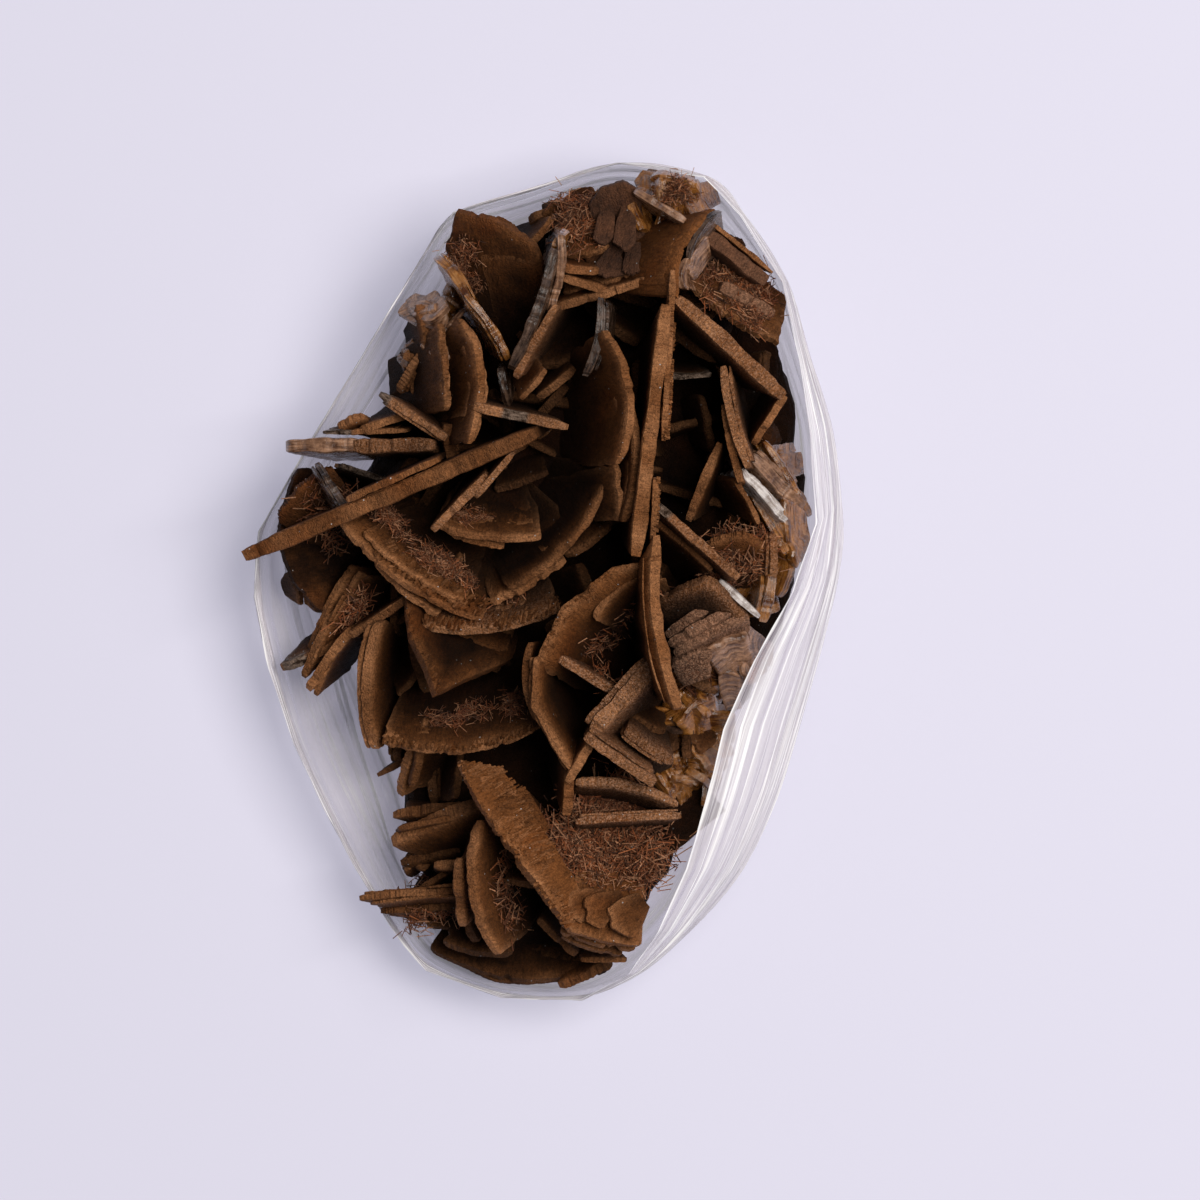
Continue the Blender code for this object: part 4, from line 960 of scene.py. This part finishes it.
# %% Short crystals low in the gaps
BASE_OUTLINE = [
    (31, 34), (25, 45), (13, 51.5), (0, 48), (-10, 43), (-15, 31), (-22, 18), (-28, 8),
    (-26, -2), (-21, -13), (-19, -26), (-17.5, -38), (-12, -48), (2, -51.5), (12, -46),
    (19, -33), (24, -20), (31, -8), (34, 6), (34, 20),
]
FILLERS = 64
FILLER_REACH = 0.9  # share of the base's outline that they keep within
scatter = np.random.default_rng(21)
fillers = []
for i in range(FILLERS):
    corner = np.array(BASE_OUTLINE[i % len(BASE_OUTLINE)], float)
    spot = corner * FILLER_REACH * math.sqrt(scatter.uniform(0.02, 1))
    heading, half = scatter.uniform(0, math.pi), scatter.uniform(3.5, 7.5)
    reach = np.array([math.cos(heading), math.sin(heading), scatter.uniform(-0.25, 0.25)]) * half
    middle = np.array([*spot, scatter.uniform(15, 21)])
    # Standing low in the gaps, they carry painted shade from the rim down (`dark`)
    fillers.append(Blade(middle - reach, middle + reach, scatter.uniform(0, 1.5), scatter.uniform(-30, 30),
                         scatter.uniform(9, 13), scatter.uniform(0.9, 1.7), tone=0.35, dark=0.2, plies=1,
                         ledges=0, plain=True))
plan("gaps", *fillers)

# %% Broken shards
SHARD_PATCHES = [
    # x, y, z of the middle, half the width and length, how many there are, and their finish
    (17.8, -23, 18.5, 4, 6.5, 70, "honey"), (17, -21, 21, 3.5, 3.5, 9, "coat"),
    (29.8, 14.6, 19, 1.2, 3, 8, "honey"), (-13.8, 34.4, 21, 2, 3.8, 22, "milky"),
    (-15.4, 29, 17, 2.4, 4, 8, "coat"), (29.8, -0.4, 20, 1.6, 4, 7, "honey"),
    (20, -14.6, 21, 3.2, 3.4, 34, "honey"), (5, 48, 20, 4.5, 3.5, 12, "coat"),
    (17.6, 50.6, 20.5, 1.6, 0.8, 6, "honey"), (17.6, 51.8, 21.8, 2.2, 0.8, 14, "honey"),
    (24, 42, 20.4, 3.4, 3, 8, "grey"), (25, -9.6, 23.4, 2.4, 2.6, 9, "milky"),
    (16, -21.4, 20.6, 2.6, 2.4, 5, "thin"), (-15, -36, 13.5, 3, 5, 5, "coat"),
    (-30.5, 3, 14, 3, 4.5, 8, "coat"),
]
shards = []
for x, y, z, wide, long, count, kind in SHARD_PATCHES:
    for _ in range(count):
        middle = np.array([x + wide * scatter.uniform(-1, 1), y + long * scatter.uniform(-1, 1),
                           z + scatter.uniform(-1.6, 1.6)])
        heading, half = scatter.uniform(0, math.pi), scatter.uniform(0.9, 2.6)
        reach = np.array([math.cos(heading), math.sin(heading), scatter.uniform(-0.4, 0.4)]) * half
        shards.append(Blade(middle - reach, middle + reach, scatter.uniform(0, 0.9), scatter.uniform(-60, 60),
                            scatter.uniform(3.5, 7), scatter.uniform(0.6, 1.4),
                            tone=scatter.uniform(0, 0.8), ragged=0.35, plies=1, kind=kind))
plan("shards", *shards)

# %% [markdown]
# ## Making the crystals
# The specimen grew as one, and hundreds of loose blades would be hard to handle. A piece has one
# material, so the coated crystals of each region are joined into one piece, and so are all the
# crystals of each other finish.

# %% Making the crystals
def select_only(*objects):
    """Selects these objects and makes the first one active."""
    bpy.ops.object.select_all(action="DESELECT")
    for thing in objects:
        thing.select_set(True)
    bpy.context.view_layer.objects.active = objects[0]


def join_pieces(name, parts, material):
    """One piece out of many, with its own material."""
    select_only(*parts)
    if len(parts) > 1:
        bpy.ops.object.join()
    whole = bpy.context.object
    whole.name = name
    whole.data.name = name
    whole.data.materials.clear()
    whole.data.materials.append(material)
    return whole


FIRST_SEED = 101
seeds = itertools.count(FIRST_SEED)
crystal_pieces = []
clean_plies = {kind: [] for kind in FINISH if kind != "coat"}
for region, blades in REGIONS.items():
    coated = []
    for blade in blades:
        plies = coated if blade.kind == "coat" else clean_plies[blade.kind]
        plies += make_blade(blade, next(seeds))
    crystal_pieces.append(join_pieces("crystals_" + region, coated, coat))
for kind, plies in clean_plies.items():
    crystal_pieces.append(join_pieces("crystals_" + kind, plies, FINISH[kind]))
for piece in crystal_pieces:
    print(piece.name, len(piece.data.polygons), "faces")

# %% [markdown]
# ## Relief on the crystals
# The coat is not smooth: it has swellings a few millimetres across and grains half a millimetre
# across. Two Displace modifiers with cloud textures raise them in the mesh itself. The glassy
# crystals get much lower grains.

# %% Relief
CRISP = math.radians(40)  # edges steeper than this are kept sharp
SWELL_HEIGHT = 0.26  # mm
COAT_GRAIN, GLASS_GRAIN, ROCK_GRAIN = 0.14, 0.05, 0.5  # mm


def surface_texture(name, kind, size, **settings):
    """A texture for a Displace modifier, with its size in mm."""
    texture = bpy.data.textures.new(name, kind)
    texture.noise_scale = size * MM
    for key, value in settings.items():
        setattr(texture, key, value)
    return texture


def roughen(piece, texture, height):
    """Moves the surface in and out by a texture, for good. The height is in mm."""
    select_only(piece)
    relief = piece.modifiers.new("relief", "DISPLACE")
    relief.texture = texture
    relief.texture_coords = "LOCAL"
    relief.strength = height * MM
    relief.mid_level = 0.5
    bpy.ops.object.modifier_apply(modifier="relief")


swell = surface_texture("swellings", "CLOUDS", 2.6, noise_depth=2)
grains = surface_texture("grains", "CLOUDS", 0.55, noise_depth=1)
for piece in crystal_pieces:
    glassy = piece.name in ["crystals_" + kind for kind in GLASSY]
    roughen(piece, swell, SWELL_HEIGHT)
    roughen(piece, grains, GLASS_GRAIN if glassy else COAT_GRAIN)
    bpy.ops.object.shade_smooth_by_angle(angle=CRISP)
print("relief on", len(crystal_pieces), "pieces")

# %% [markdown]
# ## The base
# The blades grow from a thin lumpy base. Little of it shows: dark brown down the gaps, and from
# behind, through the film. It is a sphere of many faces, moved to the base's outline and
# roughened.

# %% Base
BASE_UNDER, BASE_MIDDLE, BASE_TOP = 1.0, 7.5, 14.0
BASE_PAINTED_SHADE = 0.75  # how much painted shade its coat has, down in the gaps
LUMP_SIZE, LUMP_HEIGHT = 5.0, 2.2  # mm

bpy.ops.object.select_all(action="DESELECT")
bpy.ops.mesh.primitive_uv_sphere_add(segments=160, ring_count=90, radius=1)
base = bpy.context.object
base.name = "base"
points = np.array([v.co for v in base.data.vertices])
angles = np.arctan2(points[:, 1], points[:, 0])
outline = np.array(BASE_OUTLINE, float)
outline_angle = np.arctan2(outline[:, 1], outline[:, 0])
order = np.argsort(outline_angle)
outline_reach = np.hypot(outline[:, 0], outline[:, 1])
reach = np.interp(angles, outline_angle[order], outline_reach[order], period=math.tau)
spread = np.hypot(points[:, 0], points[:, 1]) ** 0.7
rise = np.where(points[:, 2] > 0, BASE_TOP - BASE_MIDDLE, BASE_MIDDLE - BASE_UNDER)
set_points(base.data, np.column_stack([
    np.cos(angles) * reach * spread, np.sin(angles) * reach * spread,
    BASE_MIDDLE + np.sign(points[:, 2]) * rise * np.abs(points[:, 2]) ** 0.6,
]))
bpy.ops.object.shade_smooth()
add_values(base.data)
set_value(base.data, "deep", BASE_PAINTED_SHADE)
roughen(base, surface_texture("lumps", "VORONOI", LUMP_SIZE), LUMP_HEIGHT)
roughen(base, grains, ROCK_GRAIN)
base.data.materials.append(coat)
crystal_pieces.append(base)
print("base:", len(base.data.polygons), "faces")

# %% [markdown]
# ## Needle mats
# Fine needles of iron oxide, a sixth of a millimetre thick and a few millimetres long, lie in mats
# on many faces. One needle is modelled, copied into four tufts, and the tufts are copied onto
# the faces, each turned another way. Every needle has its own tone.

# %% Needle tufts
TUFTS = 4
TUFT_SEED = 300
NEEDLES_IN_TUFT = 34
NEEDLE_THICK = 0.16  # mm
NEEDLE_LONG = (0.6, 3.0)
NEEDLE_TILT = 0.6  # radians out of the mat
TUFT_WIDE = 3.6
TUFT_HIGH = 0.9

# The needles are the same oxide, grown freely: redder, lighter and glossier than the coat
# Its third colour is the painted light on the needles' rims
needle_coat = coat_material("iron-oxide needles", "#4e2410", "#a45a2c", "#e0a278", "#8a3a12", gloss=0.4)
bpy.ops.object.select_all(action="DESELECT")
bpy.ops.mesh.primitive_cylinder_add(vertices=3, radius=0.5, depth=1)
needle = bpy.context.object
add_values(needle.data)
tufts = []
for number in range(TUFTS):
    pick = np.random.default_rng(TUFT_SEED + number)
    parts = [copy_of(needle) for _ in range(NEEDLES_IN_TUFT)]
    for part in parts:
        part.scale = (NEEDLE_THICK * MM, NEEDLE_THICK * MM, pick.uniform(*NEEDLE_LONG) * MM)
        part.rotation_euler = (0, math.pi / 2 + pick.normal(0, NEEDLE_TILT), pick.uniform(0, math.tau))
        spot = pick.normal(0, 0.33 * TUFT_WIDE, 2)
        part.location = (spot[0] * MM, spot[1] * MM, pick.uniform(0.0, TUFT_HIGH) * MM)
        set_value(part.data, "tone", pick.uniform(0.1, 1.7))
        # Each needle gets a random share of painted rim light and of painted shade
        set_value(part.data, "rim", pick.uniform(0, 1.1) ** 2)
        set_value(part.data, "deep", 0.95 * pick.uniform(0, 1) ** 1.3)
    select_only(*parts)
    bpy.ops.object.join()
    bpy.ops.object.transform_apply(location=True, rotation=True, scale=True)
    tufts.append(bpy.context.object)
bpy.data.objects.remove(needle)
print("tufts:", len(tufts), "of", len(tufts[0].data.polygons), "faces")

# %% Needle mats
LOOSE_MATS = [
    # x, y, z, half the width and length that the tufts cover, how many there are, and their size
    (4.4, 49.2, 22.4, 2.4, 2, 30, 0.75), (4.6, 45, 22.4, 1.6, 2.4, 9, 0.9),
    (17.8, 52.4, 23.4, 2.2, 1.4, 26, 0.6), (26.2, 3.4, 25.4, 3.2, 3.2, 44, 0.8),
    (28.2, 40.2, 21.6, 1.6, 1.6, 6, 0.9), (-11.4, 44, 20.4, 1.2, 2, 9, 0.7),
    (21.4, -13.8, 21.8, 2.6, 1.4, 6, 0.8), (9.6, -13, 27, 2.4, 2, 3, 0.9),
    (-15, -45.4, 15, 3.6, 1.2, 7, 0.9), (12.8, -37, 22.6, 2.2, 2.8, 15, 1),
]
MAT_SUNK = 0.1  # mm that a tuft's middle is under the face's surface


def tuft_at(point, normal, pick, size):
    """One tuft on a face, turned at random about the face's normal."""
    part = copy_of(tufts[pick.integers(len(tufts))])
    spin = Matrix.Rotation(pick.uniform(0, math.tau), 4, "Z")
    lay = Vector(normal).to_track_quat("Z", "Y").to_matrix().to_4x4()
    part.data.transform(Matrix.Translation(Vector(point) * MM) @ lay @ spin @ Matrix.Scale(size, 4))
    return part


mat_parts = []
mat_pick = np.random.default_rng(77)
for blade in itertools.chain(*REGIONS.values()):
    for s0, s1, t0, t1, count, *size in blade.mats:
        s = mat_pick.uniform(s0, s1, count)
        t = mat_pick.uniform(t0, t1, count)
        lift = blade.up_side * (0.5 * blade.thick - MAT_SUNK)
        spots, _, _ = blade.place(s, t, lift, blade.top(s))
        for spot in spots:
            scale = mat_pick.uniform(0.7, 1.1) * (size[0] if size else 1)
            mat_parts.append(tuft_at(spot, blade.out * blade.up_side, mat_pick, scale))
for x, y, z, wide, long, count, size in LOOSE_MATS:
    for _ in range(count):
        spot = (x + mat_pick.uniform(-wide, wide), y + mat_pick.uniform(-long, long),
                z + mat_pick.uniform(-1, 1))
        tilt = (mat_pick.normal(0, 0.35), mat_pick.normal(0, 0.35), 1)
        mat_parts.append(tuft_at(spot, tilt, mat_pick, size * mat_pick.uniform(0.7, 1.1)))
mats = join_pieces("needle_mats", mat_parts, needle_coat)
print("needles:", len(mat_parts) * NEEDLES_IN_TUFT, "in", len(mats.data.polygons), "faces")

# %% [markdown]
# ## Crust
# Lumps of honey-coloured baryte and rusty crust sit between the blades at the right and at the
# upper left. One lump is modelled from a sphere and copied, and its copies are stretched.

# %% Crust
CRUST = {
    # x, y, z, and half the width, the length and the height
    "honey": [
        (18, -19.6, 15.5, 3, 3.2, 4.2), (20.4, -17, 14, 3, 3.4, 4), (18.6, -24.6, 14, 3, 3.4, 4.5),
        (15.4, -23, 14.5, 3.4, 2.6, 4.5), (21.4, -23.8, 12, 2.6, 4, 4), (17.4, -28.6, 14, 3.4, 2.6, 4.5),
        (-14.6, 35.4, 17, 2.4, 3.4, 4), (-12.4, 38.8, 17, 2, 3, 4), (-17.4, 30.2, 14, 3, 3.6, 4),
        (18, 52.6, 19.4, 3, 2, 3.2),
    ],
    "brown": [
        (30.6, 14.6, 15, 3, 3.2, 5), (29.4, 19.4, 14, 3.2, 3.4, 5), (26.4, 3.4, 20.5, 4.6, 3.6, 5),
        (20, -4.6, 23, 4.6, 2.6, 4), (21.8, -13.8, 18, 3.4, 2.4, 4), (4.6, 49.6, 17.5, 4.4, 3.4, 4),
        (-14.8, 28.4, 16, 3, 4.4, 4.5), (-8, -37, 15, 3.4, 9, 5), (24.4, 44.8, 18, 3.4, 3, 4),
    ],
}
# Painted shade: how dark the lumps' coat is made before the gaps add more
CRUST_PAINTED_SHADE = 0.15
FACET_SIZE, FACET_HEIGHT = 2.0, 1.5  # mm

bpy.ops.object.select_all(action="DESELECT")
bpy.ops.mesh.primitive_ico_sphere_add(subdivisions=4, radius=1)
lump = bpy.context.object
add_values(lump.data)
facets = surface_texture("facets", "VORONOI", FACET_SIZE, weight_1=-1, weight_2=1)
lump_pick = np.random.default_rng(9)
for kind, finish in (("honey", FINISH["honey"]), ("brown", coat)):
    parts = []
    for x, y, z, wide, long, high in CRUST[kind]:
        part = copy_of(lump)
        turn = Matrix.Rotation(lump_pick.uniform(0, math.tau), 4, "Z")
        stretch = Matrix.Diagonal((wide * MM, long * MM, high * MM, 1))
        part.data.transform(Matrix.Translation(Vector((x, y, z)) * MM) @ stretch @ turn)
        set_value(part.data, "tone", lump_pick.uniform(0.2, 0.9))
        set_value(part.data, "deep", CRUST_PAINTED_SHADE)
        parts.append(part)
    crust = join_pieces("crust_" + kind, parts, finish)
    roughen(crust, facets, FACET_HEIGHT)
    roughen(crust, grains, ROCK_GRAIN)
    bpy.ops.object.shade_smooth_by_angle(angle=CRISP)
    crystal_pieces.append(crust)
    print(crust.name, len(parts), "lumps")
crystal_pieces.append(mats)

# %% [markdown]
# ## Deeper is darker: painted shade
# Little light reaches down into the gaps, so shade is painted into the coat there, nearly black. A
# map of the highest points is made over squares of one millimetre and smoothed, and `deep`, the
# painted shade, grows with the distance below it.

# %% How deep each point lies
MAP_CORNER = np.array([-45.0, -62.0])
MAP_CELLS = (90, 124)
CLEAR_DEPTH = 2.5  # mm below the tips that stay light
DARK_DEPTH = 9.0  # mm further down where the painted shade is darkest
# How much of the painted shade the faces and the needles take
FACE_SHARE, NEEDLE_SHARE = 0.78, 0.45
NEAR = [(i, j) for i in range(-3, 4) for j in range(-3, 4)]  # shifts of up to 3 mm each way


def points_mm(piece):
    """A piece's points in millimetres, and the map square that each one is in."""
    points = mesh_data(piece.data)[0] / MM
    square = np.clip((points[:, :2] - MAP_CORNER).astype(int), 0, np.array(MAP_CELLS) - 1)
    return points, (square[:, 0], square[:, 1])


heights = np.zeros(MAP_CELLS)
for piece in crystal_pieces:
    points, square = points_mm(piece)
    np.maximum.at(heights, square, points[:, 2])
tips = np.maximum.reduce([np.roll(heights, shift, (0, 1)) for shift in NEAR])
canopy = np.mean([np.roll(tips, shift, (0, 1)) for shift in NEAR], axis=0)
for piece in crystal_pieces:
    if "deep" in piece.data.attributes:
        points, square = points_mm(piece)
        painted_shade = np.clip((canopy[square] - points[:, 2] - CLEAR_DEPTH) / DARK_DEPTH, 0, 1)
        values = np.empty(len(points), dtype=np.float32)
        piece.data.attributes["deep"].data.foreach_get("value", values)
        share = NEEDLE_SHARE if piece is mats else FACE_SHARE
        set_value(piece.data, "deep", 1 - (1 - values) * (1 - share * painted_shade))
print("highest tip:", round(float(heights.max()), 1), "mm")

for piece in crystal_pieces:
    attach(piece, "root")
    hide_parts("baryte_crystals")

# %% [markdown]
# ## The film
# Clear stretched film, a few hundredths of a millimetre thick, wraps the back and the sides. It
# is pulled straight from tip to tip along its rim and gathered into long pleats, which show as
# white streaks. A flat grid is bent round into a bowl, with the pleats raised in the mesh.

# %% Film shape
FILM_STATIONS = [
    # x, y, z of the rim, x, y, z of the belly, and x, y of the foot
    (21.6, 55, 22, 22.4, 55.2, 16, 19, 47), (10, 57, 19, 10, 57.2, 14, 10, 52),
    (-2, 53.4, 18, -2.2, 53.4, 13, 0, 50), (-12.4, 50.2, 20, -12.6, 50, 14, -9, 45),
    (-16.6, 44.2, 20, -17, 44, 14, -13, 38), (-22.4, 35, 19, -22.8, 34.8, 13, -17, 30),
    (-28.2, 25.8, 16, -28.4, 25.6, 11, -22, 21), (-34, 16, 15, -34.2, 15.8, 10, -27, 13),
    (-39.2, 7, 15, -38.8, 7, 10, -30, 6), (-39.8, -2, 14, -39, -2, 9, -29, -3),
    (-37.8, -12, 13, -37, -12, 8.5, -26, -11), (-34.6, -22, 13, -34, -21.8, 8, -23, -20),
    (-30.4, -31, 12, -29.8, -30.8, 8, -20, -29), (-26.2, -39, 11, -25.8, -38.6, 7.5, -18, -36),
    (-21.4, -47, 10, -21, -46.6, 7, -15, -43), (-16.4, -53.2, 10, -16.2, -52.6, 6.5, -10, -49),
    (-6, -57, 11, -6.2, -56.4, 7, -4, -51.5), (5, -57.2, 12, 5.2, -56.8, 8, 3, -52),
    (11.4, -53.4, 19, 13.6, -53.2, 10, 9, -48), (15.4, -47.4, 23, 20.8, -47, 12, 14, -42),
    (19.2, -39, 25, 27.2, -39.2, 13, 17, -35), (21.8, -30, 26, 31.8, -29.6, 14, 20, -27),
    (24.4, -20, 26, 35.4, -18.6, 14, 24, -18), (28.6, -10.6, 26, 38.2, -8.6, 14, 29, -8),
    (33.6, -1.4, 26, 40.4, 1.6, 14, 32, 1), (36.8, 8, 25, 40.6, 11, 14, 33, 11),
    (36, 19.6, 25, 39.4, 21, 14, 33, 21), (34.4, 30, 26, 36, 31.4, 15, 31, 30),
    (32.2, 40.6, 26, 33.2, 41, 16, 27, 39), (26.6, 49.6, 25, 27.4, 50, 16, 23, 46),
]
FILM_ROUND = 760
FILM_UP = 120
FLAT_TO = 0.14  # share of the rows that lie flat underneath
FILM_BELLY_AT = 0.42  # share of the rows up to the belly
FILM_FOOT = 0.15  # mm that the flat part is above the ground
ROUND_LENGTH = 330.0
UP_LENGTH = 52.0

bpy.ops.object.select_all(action="DESELECT")
bpy.ops.mesh.primitive_grid_add(x_subdivisions=FILM_ROUND, y_subdivisions=FILM_UP, size=1)
film = bpy.context.object
film.name = "film"
film_points = np.array([v.co for v in film.data.vertices])
turn = film_points[:, 0] + 0.5
up = film_points[:, 1] + 0.5
stations = np.array(FILM_STATIONS, float)


def round_the_film(column, smooth):
    """A station value at each point's turn: straight from station to station, or smoothed."""
    where = turn * len(stations)
    low = np.floor(where).astype(int)
    part = where - np.floor(where)
    before, here, after, then = (stations[(low + k) % len(stations), column] for k in (-1, 0, 1, 2))
    if smooth:
        return 0.5 * (2 * here + (after - before) * part
                      + (2 * before - 5 * here + 4 * after - then) * part ** 2
                      + (3 * here - before - 3 * after + then) * part ** 3)
    return here * (1 - part) + after * part


rim_x, rim_y, rim_z = (round_the_film(k, False) for k in (0, 1, 2))
belly_x, belly_y, belly_z = (round_the_film(k, True) for k in (3, 4, 5))
foot_x, foot_y = (round_the_film(k, True) for k in (6, 7))
lie = np.clip(up / FLAT_TO, 0, 1)
low_part = np.clip((up - FLAT_TO) / (FILM_BELLY_AT - FLAT_TO), 0, 1)
high_part = np.clip((up - FILM_BELLY_AT) / (1 - FILM_BELLY_AT), 0, 1)
out_low, rise_low = np.sin(low_part * math.pi / 2), 1 - np.cos(low_part * math.pi / 2)
inward = 0.55 * high_part + 0.45 * (1 - np.cos(high_part * math.pi / 2))
x = foot_x * lie + (belly_x - foot_x) * out_low + (rim_x - belly_x) * inward
y = foot_y * lie + (belly_y - foot_y) * out_low + (rim_y - belly_y) * inward
z = FILM_FOOT + belly_z * rise_low + (rim_z - belly_z) * high_part
print("film:", round(float(np.ptp(x)), 1), "x", round(float(np.ptp(y)), 1), "mm")

# %% Film pleats
PLEATS = 22
PLEAT_HEIGHT = 0.3
PLEAT_PITCH = (1.6, 6.0)  # mm from ridge to ridge
PLEAT_SLANT = 1.2
FILM_INSET = 0.5  # mm inwards, so that the pleats stay within the solid
WELD = 1e-6  # m under which the sheet's two ends are joined

pick = np.random.default_rng(5)
round_mm = turn * ROUND_LENGTH
up_mm = up * UP_LENGTH
pleat = np.zeros_like(x)
for _ in range(PLEATS):
    waves = pick.integers(-4, 5)  # whole waves, so that the ends of the sheet meet
    slant = PLEAT_SLANT * np.sin(math.tau * pick.integers(1, 5) * turn + pick.uniform(0, math.tau))
    pitch = pick.uniform(*PLEAT_PITCH)
    ridge = 1 - 2 * np.abs(np.mod(up_mm / pitch + slant * 0.6 + waves * turn, 1.0) - 0.5)
    window = np.clip(np.sin(math.tau * pick.integers(1, 7) * turn + pick.uniform(0, math.tau)), 0, 1)
    pleat += ridge ** 3 * window * pitch * 0.1
pleat *= PLEAT_HEIGHT * np.clip((up - FLAT_TO) * 6, 0, 1)
outward = np.column_stack([x - 1, y + 1])
outward /= np.maximum(np.linalg.norm(outward, axis=1), 1e-6)[:, None]
x = x + outward[:, 0] * (pleat - FILM_INSET)
y = y + outward[:, 1] * (pleat - FILM_INSET)
z = z + 0.5 * pleat
set_points(film.data, np.column_stack([x, y, z]))
_, corners = mesh_data(film.data)
set_uv(film.data, np.column_stack([round_mm, up_mm])[corners])
bpy.ops.object.mode_set(mode="EDIT")
bpy.ops.mesh.select_all(action="SELECT")
bpy.ops.mesh.remove_doubles(threshold=WELD)
bpy.ops.mesh.normals_make_consistent(inside=False)
bpy.ops.object.mode_set(mode="OBJECT")
bpy.ops.object.shade_smooth()
print("film:", len(film.data.polygons), "faces")

# %% [markdown]
# ## The look of the film
# Where film is stretched it is clear, and where it is folded or strained it turns white. So
# three layers of streaks run round the wrap, each at a slight angle: broad pale bands, fine
# streaks and hard bright lines. They set how white and how dense it is, and the hem along the
# rim is denser because it is folded over. The white is partly the film's own whitening and partly
# painted highlights, standing in for light glinting on the pleats.

# %% Material: clear stretched film
FILM_SHADE = "#e0d6e2"
FILM_WHITE = "#ffffff"

film_material, tree = new_material("clear stretched film")
flat = add_node(tree, "UVMap")
layers = []
for angle, across, along in ((0.0, 0.26, 0.010), (0.03, 0.7, 0.014), (-0.04, 0.55, 0.012)):
    turned = add_node(tree, "Mapping", {"Rotation": (0, 0, angle)}, Vector=flat)
    drawn = add_node(tree, "Mapping", {"Scale": (along, across, 1)}, Vector=turned)
    layers.append(add_node(tree, "TexNoise", {"Scale": 1.0, "Detail": 3.0, "Roughness": 0.6}, Vector=drawn))
CLEAR_TO_WHITE = ((0.34, 0.66), (0.50, 0.78), (0.58, 0.68))  # of each layer's noise
broad, fine, line = (add_node(tree, "MapRange", {"From Min": low, "From Max": high}, Value=layer)
                     for layer, (low, high) in zip(layers, CLEAR_TO_WHITE))
lines = add_node(tree, "Math", {"operation": "MAXIMUM"}, _0=fine, _1=line)
streaks = add_node(tree, "Math", {"operation": "MULTIPLY_ADD", 1: 0.62}, _0=broad, _2=lines)
height = add_node(tree, "SeparateXYZ", Vector=flat).outputs["Y"]
hem = add_node(tree, "MapRange", {"From Min": UP_LENGTH - 1.0, "From Max": UP_LENGTH - 0.3, "To Max": 0.6},
               Value=height)
dense = add_node(tree, "Math", {"operation": "ADD", "use_clamp": True}, _0=streaks, _1=hem)
# Painted highlights in part: the white of the streaks also stands in for glints on the pleats
colour = add_node(tree, "Mix", {**BLEND, 6: linear(FILM_SHADE), 7: linear(FILM_WHITE)}, Factor=dense)
alpha = add_node(tree, "MapRange", {"To Min": 0.28, "To Max": 0.85}, Value=dense)
relief = add_node(tree, "Bump", {"Strength": 0.5, "Distance": 0.2 * MM}, Height=layers[1])
shader = add_node(tree, "BsdfPrincipled", {"Roughness": 0.22},
                  Base_Color=colour.outputs[2], Alpha=alpha, Normal=relief)
add_node(tree, "OutputMaterial", Surface=shader)
film.data.materials.append(film_material)
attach(film, "root")
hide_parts("film_wrap")
print("the film has", len(tree.nodes), "nodes")

# %% Last lines
for template in [*templates.values(), tooth, lump, *tufts]:
    bpy.data.objects.remove(template)
